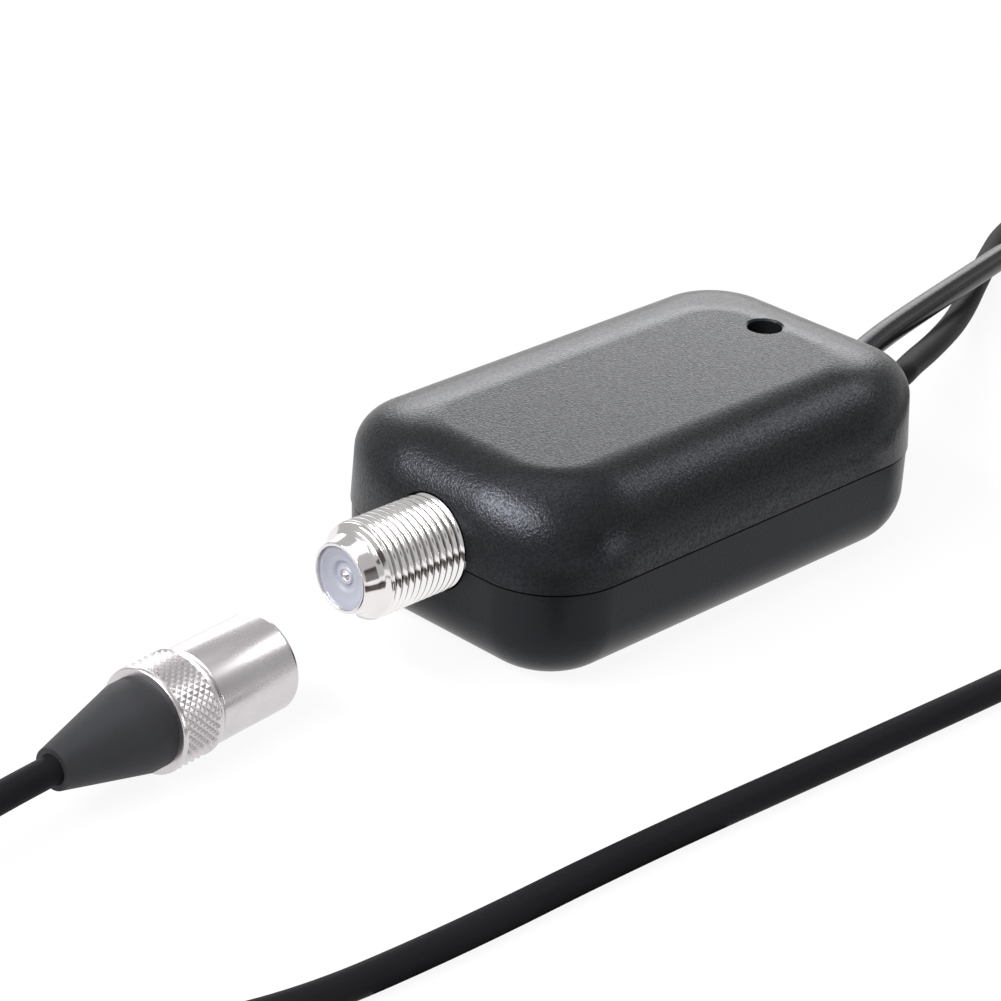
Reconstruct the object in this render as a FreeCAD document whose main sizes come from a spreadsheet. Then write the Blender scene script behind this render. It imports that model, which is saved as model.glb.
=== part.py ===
import FreeCAD, Part
import math
import os
import re
import Sketcher

# In-line television aerial amplifier: a two-part moulded case with a threaded aerial
# socket at one short end, a coaxial lead with an aerial plug and a power lead with a
# flat power plug at the other. All sizes are in millimetres and degrees.
# The frame: +Z up, the case stands on Z = 0, the socket points to -X, the leads leave at +X.

SIZES = {
    # case
    "case_length": 55.5,
    "case_width": 32.0,
    "lower_height": 10.3,
    "upper_height": 9.1,
    "corner_radius": 8.3,
    "bottom_round": 6.1,
    "top_round": 3.8,
    "wall": 1.6,
    "lower_draft": 1.0,
    "upper_draft": 3.0,
    "overhang": 0.1,
    "seam_gap": 0.22,
    "seam_depth": 0.5,
    "lip_height": 1.2,
    "lip_thickness": 0.7,
    "lip_gap": 0.1,
    "hole_gap": 0.15,
    "hook_spacing": 26.0,
    "hook_width": 4.0,
    "hook_thickness": 1.0,
    "hook_drop": 3.2,
    "hook_nose": 0.45,
    "hook_nose_height": 0.8,
    # circuit board and its posts
    "board_end_gap": 2.9,
    "board_side_gap": 1.5,
    "board_thickness": 1.6,
    "board_height": 4.9,
    "board_shift": 0.6,
    "board_corner": 5.0,
    "post_radius": 1.9,
    "post_pin_radius": 0.8,
    "post_pin_height": 2.2,
    "post_end_inset": 5.3,
    "post_side_inset": 3.0,
    "pin_gap": 0.1,
    # aerial socket
    "socket_rise": 1.2,
    "thread_radius": 4.7,
    "socket_reach": 11.2,
    "nose_length": 1.6,
    "nose_chamfer": 0.8,
    "rim_radius": 3.4,
    "nose_radius": 3.8,
    "rim_width": 0.3,
    "dish_depth": 0.8,
    "dish_floor_radius": 1.1,
    "wire_hole_radius": 0.6,
    "wire_hole_length": 2.0,
    "flange_width": 12.4,
    "flange_height": 9.6,
    "flange_thickness": 1.8,
    "flange_gap": 0.3,
    "barrel_root": 0.5,
    "insulator_recess": 0.25,
    "insulator_cone_radius": 2.5,
    "fit_gap": 0.05,
    "boss_radius": 4.0,
    "boss_length": 4.2,
    "contact_radius": 1.1,
    "contact_bore": 0.55,
    "contact_depth": 8.0,
    "contact_pin_radius": 0.4,
    "contact_pin_reach": 1.6,
    "contact_slot": 0.24,
    "contact_slot_depth": 4.8,
    "contact_web": 1.0,
    "pin_length_below_board": 0.8,
    "wire_bend": 1.2,
    "leg_width": 1.2,
    "leg_depth": 0.8,
    "leg_spacing": 6.4,
    "saddle_thickness": 1.0,
    "saddle_width": 14.0,
    # what the board carries
    "chip_x": -5.5,
    "chip_y": 0.0,
    "chip_length": 4.5,
    "chip_width": 2.5,
    "chip_height": 1.4,
    "chip_lift": 0.1,
    "chip_leg_pitch": 1.5,
    "chip_leg_width": 0.45,
    "chip_leg_length": 1.3,
    "chip_tab_width": 1.7,
    "chip_leg_height": 0.4,
    "choke_radius": 2.6,
    "choke_waist_radius": 1.4,
    "choke_disc": 0.9,
    "choke_height": 4.2,
    "choke_wire_radius": 2.3,
    "choke_a_x": 4.5,
    "choke_a_y": -7.0,
    "choke_b_x": -12.0,
    "choke_b_y": 6.5,
    "can_x": 8.5,
    "can_y": 6.4,
    "can_radius": 2.0,
    "can_height": 5.4,
    "can_foot": 4.3,
    "can_foot_height": 0.8,
    "capacitor_length": 1.6,
    "capacitor_width": 0.9,
    "capacitor_height": 0.8,
    "resistor_length": 2.0,
    "resistor_width": 1.25,
    "resistor_height": 0.55,
    # pilot lamp
    "lamp_inset": 7.75,
    "lamp_y": 1.7,
    "lamp_hole_radius": 1.8,
    "lamp_hole_chamfer": 0.2,
    "lamp_radius": 1.5,
    "lamp_height": 5.0,
    "lamp_flange_radius": 1.9,
    "lamp_flange_height": 1.0,
    "lamp_sink": 2.6,
    "lamp_flat": 0.1,
    "lamp_leg_radius": 0.25,
    "lamp_leg_pitch": 2.54,
    # leads and their grommets
    "lead_radius": 1.4,
    "lead_pitch": 5.5,
    "lead_bore_gap": 0.05,
    "grommet_flange_radius": 2.5,
    "grommet_flange": 1.0,
    "grommet_neck_radius": 2.0,
    "grommet_nose": 3.2,
    "grommet_nose_radius": 1.75,
    "grommet_gap": 0.15,
    "jacket_overrun": 1.4,
    "dielectric_length": 2.4,
    "core_length": 2.6,
    "braid_length": 2.2,
    "braid_offset": 0.85,
    "wire_offset": 0.72,
    "wire_straight": 0.9,
    "wire_length": 3.9,
    "wire_dip": 1.6,
    "pad_offset": 3.95,
    "pad_spacing": 2.1,
    "braid_radius": 0.5,
    "dielectric_radius": 0.75,
    "core_radius": 0.25,
    "wire_radius": 0.45,
    # aerial plug
    "plug_shell_radius": 4.75,
    "plug_shell_wall": 0.45,
    "plug_shell_length": 9.8,
    "plug_band_radius": 5.1,
    "plug_band_length": 5.2,
    "plug_tail_radius": 3.9,
    "plug_tail_length": 1.5,
    "plug_pin_radius": 1.17,
    "plug_pin_stem": 0.95,
    "plug_pin_inset": 0.3,
    "plug_pin_flat": 0.12,
    "plug_pin_tail": 1.5,
    "plug_cavity": 8.6,
    "plug_disc_thickness": 1.4,
    "plug_core_radius": 3.2,
    "plug_core_length": 3.5,
    "plug_rim_round": 0.25,
    "plug_boot_radius": 4.3,
    "plug_boot_length": 11.0,
    "plug_boot_end_radius": 2.0,
    "plug_x": -46.8,
    "plug_y": 1.7,
    "plug_turn": 6.2,
    "plug_approach": 8.9,
    # power lead coil and its tie
    "coil_half_turns_in": 7.0,
    "coil_half_turns_out": 5.0,
    "coil_x": 96.0,
    "coil_y": -11.0,
    "coil_outer_radius": 22.2,
    "coil_pitch": 3.35,
    "coil_reversal": 1.7,
    "tie_thickness": 0.7,
    "tie_width": 2.6,
    "tie_gap": 0.1,
    "tie_angle": 135.0,
    "tie_head_length": 3.0,
    "tie_head_width": 4.4,
    "tie_head_bottom": 1.2,
    "tie_head_top": 6.2,
    # flat power plug
    "flat_x": 73.0,
    "flat_y": -27.0,
    "flat_grip_length": 20.0,
    "flat_grip_width": 15.5,
    "flat_grip_height": 8.0,
    "flat_grip_round": 2.2,
    "flat_grip_corner": 3.0,
    "flat_relief_length": 8.0,
    "flat_relief_radius": 2.7,
    "flat_relief_end": 1.9,
    "flat_shell_length": 12.0,
    "flat_shell_width": 12.0,
    "flat_shell_height": 4.5,
    "flat_shell_wall": 0.3,
    "flat_window_length": 2.0,
    "flat_window_width": 2.4,
    "flat_window_x": 5.0,
    "flat_window_y": 2.9,
    "flat_tongue_height": 1.9,
    "flat_straight": 5.5,
    "flat_tongue_inset": 0.6,
    "flat_contact_pitch": 2.4,
    "flat_contact_width": 1.0,
    "flat_contact_height": 0.2,
    "flat_contact_length": 8.0,
}

# Where the small surface-mounted parts sit on the board.
CAPACITOR_SPOTS = [(-13.5, -3.0), (-10.5, -3.0), (-0.8, 0.0), (2.4, 0.0), (13.4, -5.0), (13.4, -8.2)]
RESISTOR_SPOTS = [(-3.0, 5.2), (-3.0, 7.6), (-8.5, -7.5), (3.0, 4.4), (15.2, 1.7)]

# Free stretches of the leads, as points that the round tubes are bent through.
# Both leave the case level, sink to the surface and stay on it.
COAX_ROUTE = [
    (37.0, -2.75, 10.3), (42.8, 0.35, 9.0), (53.5, 5.6, 6.4), (68.5, 13.6, 3.0), (84.5, 23.0, 1.45),
    (98.5, 30.0, 1.45), (112.5, 30.5, 1.45), (121.0, 20.5, 1.45), (122.8, 5.0, 1.45),
    (122.6, -12.0, 1.45), (119.5, -28.5, 1.45), (108.5, -39.0, 1.45), (92.0, -41.7, 1.45),
    (70.0, -42.0, 1.45), (42.0, -42.2, 1.45), (14.0, -41.9, 1.45), (-14.0, -40.4, 1.45),
    (-40.0, -38.8, 1.45), (-61.0, -38.6, 1.45), (-78.0, -37.2, 1.45), (-91.0, -31.5, 1.45),
    (-98.0, -21.0, 1.45), (-97.0, -9.5, 1.75), (-90.5, -3.4, 4.2),
]
POWER_ROUTE = [
    (35.8, 2.75, 10.3), (43.0, 5.6, 9.9), (55.5, 9.8, 8.5), (71.5, 14.9, 6.7), (86.5, 19.8, 4.9),
    (100.5, 21.5, 2.6), (112.0, 15.5, 2.2),
]

AXIS_Z = "lower_height + socket_rise"
FRONT_X = "-case_length / 2 - socket_reach"
FLANGE_X = "socket_reach + overhang + wall + flange_gap"
EXIT_X = "case_length / 2 + grommet_flange + grommet_nose"
BOARD_TOP = "board_height + board_thickness"
CASE_TOP = "lower_height + upper_height"
SOCKET_BACK = f"{FLANGE_X} + flange_thickness + boss_length"
PIN_X = f"{SOCKET_BACK} + contact_pin_reach"
MARGIN = "1"
BOARD_LENGTH = "case_length - 2 * (overhang + wall + board_end_gap)"
BOARD_WIDTH = "case_width - 2 * (overhang + wall + board_side_gap)"
LAMP_X = "(case_length / 2 - lamp_inset)"
POST_X = f"({BOARD_LENGTH}) / 2 - post_end_inset"
POST_Y = f"({BOARD_WIDTH}) / 2 - post_side_inset"
INNER_END = "case_length / 2 - overhang - wall - grommet_gap - grommet_flange - jacket_overrun"

doc = FreeCAD.newDocument("AerialAmplifier")
sheet = doc.addObject("Spreadsheet::Sheet", "Sizes")
for row, (alias, number) in enumerate(SIZES.items(), 1):
    sheet.set(f"A{row}", alias)
    sheet.set(f"B{row}", str(number))
    sheet.setAlias(f"B{row}", alias)
doc.recompute()


def size(alias):
    """The value that the sheet holds for one size."""
    return float(sheet.get(alias))


def worth(text):
    """The number that an expression of sizes gives."""
    body = sheet.evalExpression(text)
    return float(getattr(body, "Value", body))


def bound(text):
    """Point each size named in an expression at its cell of the sheet."""
    return re.sub(r"[a-z_]+", lambda word: f"Sizes.{word[0]}" if word[0] in SIZES else word[0], text)


def bind(thing, **expressions):
    """Bind properties to sizes; two underscores stand for a dot."""
    for name, text in expressions.items():
        thing.setExpression(name.replace("__", "."), bound(text))


# Sketches, features and edge picks shared by the pieces

def new_body(label):
    body = doc.addObject("PartDesign::Body", label)
    body.Label = label
    return body


def plane(body, role):
    return next(item for item in body.Origin.OriginFeatures if item.Role == role)


def new_sketch(body, role, offset="0"):
    sketch = body.newObject("Sketcher::SketchObject", "Sketch")
    sketch.AttachmentSupport = (plane(body, role), [""])
    sketch.MapMode = "FlatFace"
    bind(sketch, AttachmentOffset__Base__z=offset)
    return sketch


def constrain(sketch, kind, *where, to):
    """Add a dimension and bind it to an expression."""
    index = sketch.addConstraint(Sketcher.Constraint(kind, *where))
    sketch.setExpression(f"Constraints[{index}]", bound(to))


def add_outline(sketch, corners):
    """A closed outline of straight lines, each corner set out from the origin."""
    first = sketch.GeometryCount
    count = len(corners)
    spots = [FreeCAD.Vector(math.cos(2 * math.pi * i / count), math.sin(2 * math.pi * i / count), 0)
             for i in range(count)]
    for i in range(count):
        sketch.addGeometry(Part.LineSegment(spots[i], spots[(i + 1) % count]))
    for i in range(count):
        sketch.addConstraint(Sketcher.Constraint("Coincident", first + i, 2, first + (i + 1) % count, 1))
    for i, (across, up) in enumerate(corners):
        constrain(sketch, "DistanceX", -1, 1, first + i, 1, spots[i].x, to=across)
        constrain(sketch, "DistanceY", -1, 1, first + i, 1, spots[i].y, to=up)


def add_rectangle(sketch, left, right, bottom, top):
    add_outline(sketch, [(left, bottom), (right, bottom), (right, top), (left, top)])


def add_centred(sketch, length, width):
    add_rectangle(sketch, f"-({length}) / 2", f"({length}) / 2", f"-({width}) / 2", f"({width}) / 2")


def add_rounded(sketch, length, width, radius):
    """A rectangle centred on the origin with round corners."""
    half_x, half_y, curve = 20.0, 12.0, 4.0
    signs = [(1, 1), (-1, 1), (-1, -1), (1, -1)]
    arcs = []
    for quarter, (right, up) in enumerate(signs):
        centre = FreeCAD.Vector(right * half_x, up * half_y, 0)
        circle = Part.Circle(centre, FreeCAD.Vector(0, 0, 1), curve)
        start = quarter * math.pi / 2
        arcs.append(sketch.addGeometry(Part.ArcOfCircle(circle, start, start + math.pi / 2)))
    for quarter, arc in enumerate(arcs):
        following = arcs[(quarter + 1) % 4]
        side = sketch.addGeometry(Part.LineSegment(sketch.getPoint(arc, 2), sketch.getPoint(following, 1)))
        sketch.addConstraint(Sketcher.Constraint("Tangent", arc, 2, side, 1))
        sketch.addConstraint(Sketcher.Constraint("Tangent", side, 2, following, 1))
    for arc, (right, up) in zip(arcs, signs):
        constrain(sketch, "Radius", arc, curve, to=radius)
        constrain(sketch, "DistanceX", -1, 1, arc, 3, right * half_x,
                  to=f"{right} * (({length}) / 2 - ({radius}))")
        constrain(sketch, "DistanceY", -1, 1, arc, 3, up * half_y, to=f"{up} * (({width}) / 2 - ({radius}))")


def add_circle(sketch, across, up, radius):
    index = sketch.addGeometry(Part.Circle(FreeCAD.Vector(1, 1, 0), FreeCAD.Vector(0, 0, 1), 1))
    constrain(sketch, "Radius", index, 1.0, to=radius)
    constrain(sketch, "DistanceX", -1, 1, index, 3, 1.0, to=across)
    constrain(sketch, "DistanceY", -1, 1, index, 3, 1.0, to=up)


def extrude(body, sketch, kind, length, backwards=False, draft="0"):
    """Pad or pocket a sketch. A pad grows along the sketch's normal, a pocket cuts against it."""
    feature = body.newObject(f"PartDesign::{kind}", kind)
    feature.Profile = sketch
    feature.Reversed = backwards
    bind(feature, Length=length, TaperAngle=draft)
    doc.recompute()
    return feature


def revolve(body, sketch):
    """Turn a sketch on the XZ plane round the X axis."""
    feature = body.newObject("PartDesign::Revolution", "Revolution")
    feature.Profile = sketch
    feature.ReferenceAxis = (sketch, ["H_Axis"])
    feature.Angle = 360
    doc.recompute()
    return feature


def dress(body, base, kind, edges, **sizes):
    """Fillet or chamfer the edges of a feature."""
    feature = body.newObject(f"PartDesign::{kind}", kind)
    feature.Base = (base, edges)
    bind(feature, **sizes)
    doc.recompute()
    return feature


def mirror(body, original, role):
    feature = body.newObject("PartDesign::Mirrored", "Mirrored")
    feature.Originals = [original]
    feature.MirrorPlane = (plane(body, role), [""])
    body.Tip = feature
    doc.recompute()
    return feature


def edges_where(feature, test):
    """Names of the edges whose box passes a test."""
    return [f"Edge{i}" for i, edge in enumerate(feature.Shape.Edges, 1) if test(edge.BoundBox)]


def faces_where(feature, test):
    """Names of the faces whose box passes a test."""
    return [f"Face{i}" for i, face in enumerate(feature.Shape.Faces, 1) if test(face.BoundBox)]


def is_upright(box):
    return box.ZLength > size("wall") / 2


def lies_at(height, slack=0.01):
    return lambda box: abs(box.ZMin - height) < slack and abs(box.ZMax - height) < slack


# Case

def shell_of(body, up, length, width, height, draft, outer_round):
    """A drafted block with round corners, hollowed from its open side at the parting line."""
    outline = new_sketch(body, "XY_Plane", "lower_height")
    add_rounded(outline, length, width, "corner_radius")
    straight = extrude(body, outline, "Pad", height, not up)
    parting = lies_at(size("lower_height"))
    block = body.newObject("PartDesign::Draft", "Draft")
    block.Base = (straight, faces_where(straight, is_upright))
    block.NeutralPlane = (straight, faces_where(straight, parting))
    block.Reversed = not up
    bind(block, Angle=draft)
    doc.recompute()
    far = size("lower_height") + size("upper_height") if up else 0.0
    outside = dress(body, block, "Fillet", edges_where(block, lies_at(far)), Radius=outer_round)
    wall = body.newObject("PartDesign::Thickness", "Thickness")
    wall.Base = (outside, faces_where(outside, parting))
    wall.Reversed = True
    bind(wall, Value="wall")
    doc.recompute()
    return wall


def cut_end_holes(body):
    """Half of the socket's hole in the front wall and of the grommets' holes in the rear wall."""
    front = new_sketch(body, "YZ_Plane", "-case_length / 2 + 2 * wall")
    add_circle(front, "0", AXIS_Z, "thread_radius + hole_gap")
    extrude(body, front, "Pocket", "3 * wall")
    rear = new_sketch(body, "YZ_Plane", "case_length / 2 - 2 * wall")
    for side in ("-", ""):
        add_circle(rear, f"{side}lead_pitch / 2", "lower_height", "grommet_neck_radius + lead_bore_gap")
    extrude(body, rear, "Pocket", "3 * wall", backwards=True)


def make_lower_case():
    body = new_body("lower_case")
    length = "case_length - 2 * overhang"
    width = "case_width - 2 * overhang"
    shell_of(body, False, length, width, "lower_height", "lower_draft", "bottom_round")

    # the lip that keys into the upper case
    lip = new_sketch(body, "XY_Plane", "lower_height")
    inside = "corner_radius - wall"
    add_rounded(lip, f"{length} - 2 * wall + 2 * lip_thickness", f"{width} - 2 * wall + 2 * lip_thickness",
                f"{inside} + lip_thickness")
    add_rounded(lip, f"{length} - 2 * wall", f"{width} - 2 * wall", inside)
    extrude(body, lip, "Pad", "lip_height")

    # posts with pins that hold the board
    posts = new_sketch(body, "XY_Plane", "wall / 2")
    pins = new_sketch(body, "XY_Plane", "wall")
    for along in ("-", ""):
        for side in ("-", ""):
            add_circle(posts, f"board_shift + {along}({POST_X})", f"{side}({POST_Y})", "post_radius")
            add_circle(pins, f"board_shift + {along}({POST_X})", f"{side}({POST_Y})", "post_pin_radius")
    extrude(body, posts, "Pad", "board_height - wall / 2")
    extrude(body, pins, "Pad", "board_height + post_pin_height - wall")

    # saddle behind the socket's flange
    saddle = new_sketch(body, "YZ_Plane", f"{FRONT_X} + {FLANGE_X} + flange_thickness + hole_gap")
    add_rectangle(saddle, "-saddle_width / 2", "saddle_width / 2", "wall / 2", AXIS_Z)
    extrude(body, saddle, "Pad", "saddle_thickness")
    seat = new_sketch(body, "YZ_Plane", f"{FRONT_X} + {FLANGE_X} + flange_thickness + 2 * saddle_thickness")
    add_circle(seat, "0", AXIS_Z, "boss_radius + hole_gap")
    extrude(body, seat, "Pocket", "2 * saddle_thickness")

    # blind pockets for the upper case's hooks
    catch = new_sketch(body, "XZ_Plane", "0")
    reach = "(case_width / 2 - overhang - wall + hook_nose + hole_gap) * 2"
    for along in ("-", ""):
        middle = f"{along}hook_spacing / 2"
        add_rectangle(catch, f"{middle} - hook_width / 2 - hole_gap", f"{middle} + hook_width / 2 + hole_gap",
                      "lower_height - hook_drop - hole_gap",
                      "lower_height - hook_drop + hook_nose_height + hole_gap")
    pockets = extrude(body, catch, "Pocket", reach)
    pockets.Midplane = True
    cut_end_holes(body)
    return body


def make_upper_case():
    body = new_body("upper_case")
    shell_of(body, True, "case_length", "case_width", "upper_height", "upper_draft", "top_round")

    # rebate round the open edge for the lower case's lip
    rebate = new_sketch(body, "XY_Plane", "lower_height")
    span = "- 2 * overhang - 2 * wall + 2 * lip_thickness + 2 * lip_gap"
    add_rounded(rebate, f"case_length {span}", f"case_width {span}",
                "corner_radius - wall + lip_thickness + lip_gap")
    extrude(body, rebate, "Pocket", "lip_height + lip_gap", backwards=True)

    # shadow line along the parting
    seam = new_sketch(body, "XY_Plane", "lower_height")
    add_rounded(seam, f"case_length + {MARGIN}", f"case_width + {MARGIN}", f"corner_radius + {MARGIN} / 2")
    add_rounded(seam, "case_length - 2 * seam_depth", "case_width - 2 * seam_depth",
                "corner_radius - seam_depth")
    extrude(body, seam, "Pocket", "seam_gap", backwards=True)

    # snap hooks that hang inside the long walls
    hooks = new_sketch(body, "YZ_Plane", "hook_spacing / 2 - hook_width / 2")
    outer = "case_width / 2 - overhang - wall - lip_gap"
    top = "lower_height + lip_height + 2 * wall"
    for side in ("-", ""):
        add_outline(hooks, [
            (f"{side}({outer} - hook_thickness)", top),
            (f"{side}({outer} - hook_thickness)", "lower_height - hook_drop"),
            (f"{side}({outer})", "lower_height - hook_drop"),
            (f"{side}({outer} + hook_nose + lip_gap)", "lower_height - hook_drop + hook_nose_height / 2"),
            (f"{side}({outer} + hook_nose + lip_gap)", "lower_height - hook_drop + hook_nose_height"),
            (f"{side}({outer})", "lower_height - hook_drop + hook_nose_height"),
            (f"{side}({outer})", "lower_height + lip_height + 2 * lip_gap"),
            (f"{side}({outer} + wall / 2)", "lower_height + lip_height + 2 * lip_gap"),
            (f"{side}({outer} + wall / 2)", top),
        ])
    pair = extrude(body, hooks, "Pad", "hook_width")
    mirror(body, pair, "YZ_Plane")

    # hole for the pilot lamp
    window = new_sketch(body, "XY_Plane", f"{CASE_TOP} + {MARGIN}")
    add_circle(window, LAMP_X, "lamp_y", "lamp_hole_radius")
    hole = extrude(body, window, "Pocket", f"wall + 2 * {MARGIN}")
    radius = size("lamp_hole_radius")
    level = size("lower_height") + size("upper_height")
    slack = size("fit_gap")
    lip = edges_where(hole, lambda box: lies_at(level)(box) and abs(box.XLength - 2 * radius) < slack
                      and abs(box.YLength - 2 * radius) < slack)
    dress(body, hole, "Chamfer", lip, Size="lamp_hole_chamfer")
    cut_end_holes(body)
    return body


# Simple solids

def new_box(label, x, y, z, length, width, height):
    """A box centred on x and y that stands on z."""
    box = doc.addObject("Part::Box", label)
    bind(box, Length=length, Width=width, Height=height, Placement__Base__x=f"{x} - ({length}) / 2",
         Placement__Base__y=f"{y} - ({width}) / 2", Placement__Base__z=z)
    return box


def new_rod(label, x, y, z, radius, height):
    """An upright cylinder that stands on z."""
    rod = doc.addObject("Part::Cylinder", label)
    bind(rod, Radius=radius, Height=height, Placement__Base__x=x, Placement__Base__y=y, Placement__Base__z=z)
    return rod


def join(label, pieces, kind="MultiFuse"):
    """One solid of several, or with kind Compound a group of separate ones."""
    whole = doc.addObject(f"Part::{kind}", label)
    whole.Label = label
    if kind == "Compound":
        whole.Links = pieces
    else:
        whole.Shapes = pieces
    return whole


def turned(label, corners):
    """A body turned round the X axis from (distance along, radius) corners."""
    body = new_body(label)
    profile = new_sketch(body, "XZ_Plane")
    add_outline(profile, corners)
    revolve(body, profile)
    return body


# Bent round stock: straight runs joined by arcs

def arc_middle(start, corner, end):
    """The middle of the arc that touches start-corner and corner-end at equal distances."""
    chord = end - start
    middle = start + chord * 0.5
    rise = corner - middle
    half = chord.Length / 2
    turn = 2 * math.atan2(rise.Length, half)
    return middle + rise.normalize() * (half * math.tan(turn / 4))


def rounded_path(points, limit=math.inf):
    """Edges through a route, each corner rounded as far as its runs or the limit allow, and the radii."""
    spots = [FreeCAD.Vector(*point) for point in points]
    edges = []
    radii = []
    here = spots[0]
    for before, corner, after in zip(spots, spots[1:], spots[2:]):
        run_in = corner - before
        run_out = after - corner
        reach = min(0.45 * run_in.Length, 0.45 * run_out.Length, limit)
        start = corner - FreeCAD.Vector(run_in).normalize() * reach
        end = corner + FreeCAD.Vector(run_out).normalize() * reach
        radii.append(reach / math.tan(run_in.getAngle(run_out) / 2))
        edges.append(Part.LineSegment(here, start).toShape())
        edges.append(Part.Arc(start, arc_middle(start, corner, end), end).toShape())
        here = end
    edges.append(Part.LineSegment(here, spots[-1]).toShape())
    return edges, radii


def round_stock(label, edges, radius, note=""):
    """A round solid along a chain of edges, its volume set against its section and length."""
    path = Part.Wire(edges)
    start = edges[0].valueAt(edges[0].FirstParameter)
    along = edges[0].tangentAt(edges[0].FirstParameter)
    section = Part.Wire([Part.Circle(start, along, radius).toShape()])
    piece = doc.addObject("Part::Feature", label)
    piece.Label = label
    piece.Shape = path.makePipeShell([section], True, False)
    ideal = math.pi * radius ** 2 * path.Length
    print(f"{label}: {path.Length:.1f} mm long, volume {piece.Shape.Volume / ideal:.4f} of the ideal {note}")
    return piece


def bent_wire(label, points, radius, limit=math.inf):
    edges, radii = rounded_path(points, limit)
    note = f"tightest bend {min(radii):.1f}" if radii else "straight"
    return round_stock(label, edges, radius, note)


# Aerial socket

def place_socket(body):
    bind(body, Placement__Base__x=FRONT_X, Placement__Base__z=AXIS_Z)
    return body


def make_socket():
    """Threaded barrel with a narrow nose, a flange inside the wall and a boss with solder legs."""
    inner = "rim_radius - rim_width"
    root = f"{FLANGE_X} + barrel_root"
    body = turned("f_socket_body", [
        ("0", inner), ("0", "rim_radius"), ("nose_length", "nose_radius"),
        ("nose_length + nose_chamfer", "thread_radius"), (root, "thread_radius"),
        (root, "boss_radius"), (SOCKET_BACK, "boss_radius"), (SOCKET_BACK, inner),
    ])
    place_socket(body)
    flange = new_sketch(body, "YZ_Plane", FLANGE_X)
    add_centred(flange, "flange_width", "flange_height")
    add_circle(flange, "0", "0", inner)
    extrude(body, flange, "Pad", "flange_thickness")
    legs = new_sketch(body, "XY_Plane", f"board_height - pin_length_below_board - ({AXIS_Z})")
    for side in ("-", ""):
        middle = f"{side}leg_spacing / 2"
        add_rectangle(legs, f"{SOCKET_BACK} - leg_depth", SOCKET_BACK,
                      f"{middle} - leg_width / 2", f"{middle} + leg_width / 2")
    extrude(body, legs, "Pad", f"{AXIS_Z} - board_height + pin_length_below_board - boss_radius / 2")
    return body


def make_socket_insulator():
    """White plug that fills the barrel, dished at the front, with a cell for the contact."""
    outer = "rim_radius - rim_width"
    pin = "contact_pin_radius + fit_gap"
    cell = "contact_radius + fit_gap"
    mouth = "dish_depth + wire_hole_length"
    cell_end = f"{mouth} + contact_depth + 2 * fit_gap"
    return place_socket(turned("f_socket_insulator", [
        ("insulator_recess", "insulator_cone_radius"), ("insulator_recess", outer), (SOCKET_BACK, outer),
        (SOCKET_BACK, pin), (cell_end, pin), (cell_end, cell), (mouth, cell), (mouth, "wire_hole_radius"),
        ("dish_depth", "wire_hole_radius"), ("dish_depth", "dish_floor_radius"),
    ]))


def make_socket_contact():
    """Slit sleeve that grips the aerial's wire, with a solder pin bent down through the board."""
    body = new_body("contact_sleeve")
    place_socket(body)
    start = "dish_depth + wire_hole_length + fit_gap"
    end = f"{start} + contact_depth"
    profile = new_sketch(body, "XZ_Plane")
    add_outline(profile, [
        (start, "contact_bore"), (start, "contact_radius"), (end, "contact_radius"), (end, "0"),
        (f"{end} - contact_web", "0"), (f"{end} - contact_web", "contact_bore"),
    ])
    revolve(body, profile)
    slot = new_sketch(body, "XZ_Plane")
    add_rectangle(slot, f"{start} - {MARGIN}", f"{start} + contact_slot_depth", "-contact_slot / 2",
                  "contact_slot / 2")
    cut = extrude(body, slot, "Pocket", f"2 * contact_radius + {MARGIN}")
    cut.Midplane = True
    sleeve_end = worth(f"{FRONT_X} + {end}")
    axis = worth(AXIS_Z)
    pin_x = worth(f"{FRONT_X} + {PIN_X}")
    tip = worth("board_height - pin_length_below_board")
    tail = bent_wire("contact_tail", [(sleeve_end, 0, axis), (pin_x, 0, axis), (pin_x, 0, tip)],
                     size("contact_pin_radius"), size("wire_bend"))
    return join("f_socket_contact", [body, tail])


# Circuit board and what it carries

def make_board():
    body = new_body("circuit_board")
    outline = new_sketch(body, "XY_Plane", "board_height")
    add_rounded(outline, BOARD_LENGTH, BOARD_WIDTH, "board_corner")
    extrude(body, outline, "Pad", "board_thickness")
    bind(body, Placement__Base__x="board_shift")
    sides = ("-", "")
    holes = [(f"{along}({POST_X})", f"{side}({POST_Y})", "post_pin_radius + pin_gap")
             for along in sides for side in sides]
    for side in sides:
        holes.append((f"{FRONT_X} + {SOCKET_BACK} - leg_depth / 2 - board_shift", f"{side}leg_spacing / 2",
                      "leg_width / 2 + 2 * pin_gap"))
    holes.append((f"{FRONT_X} + {PIN_X} - board_shift", "0", "contact_pin_radius + pin_gap"))
    for side in ("-", "+"):
        holes.append((f"{LAMP_X} - board_shift", f"lamp_y {side} lamp_leg_pitch / 2",
                      "lamp_leg_radius + pin_gap"))
    drills = new_sketch(body, "XY_Plane", f"{BOARD_TOP} + {MARGIN}")
    for x, y, radius in holes:
        add_circle(drills, x, y, radius)
    extrude(body, drills, "Pocket", f"board_thickness + 2 * {MARGIN}")
    return body


def make_amplifier_chip():
    """Small amplifier in a flat case with three legs and a tab."""
    parts = [new_box("chip_case", "chip_x", "chip_y", f"{BOARD_TOP} + chip_lift", "chip_length", "chip_width",
                     "chip_height")]
    edge = "chip_width / 2 + chip_leg_length / 4"
    for step in (-1, 0, 1):
        parts.append(new_box("chip_leg", f"chip_x + {step} * chip_leg_pitch", f"chip_y - {edge}", BOARD_TOP,
                             "chip_leg_width", "chip_leg_length", "chip_leg_height"))
    parts.append(new_box("chip_tab", "chip_x", f"chip_y + {edge}", BOARD_TOP, "chip_tab_width",
                         "chip_leg_length",
                         "chip_leg_height"))
    return join("amplifier_chip", parts)


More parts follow.
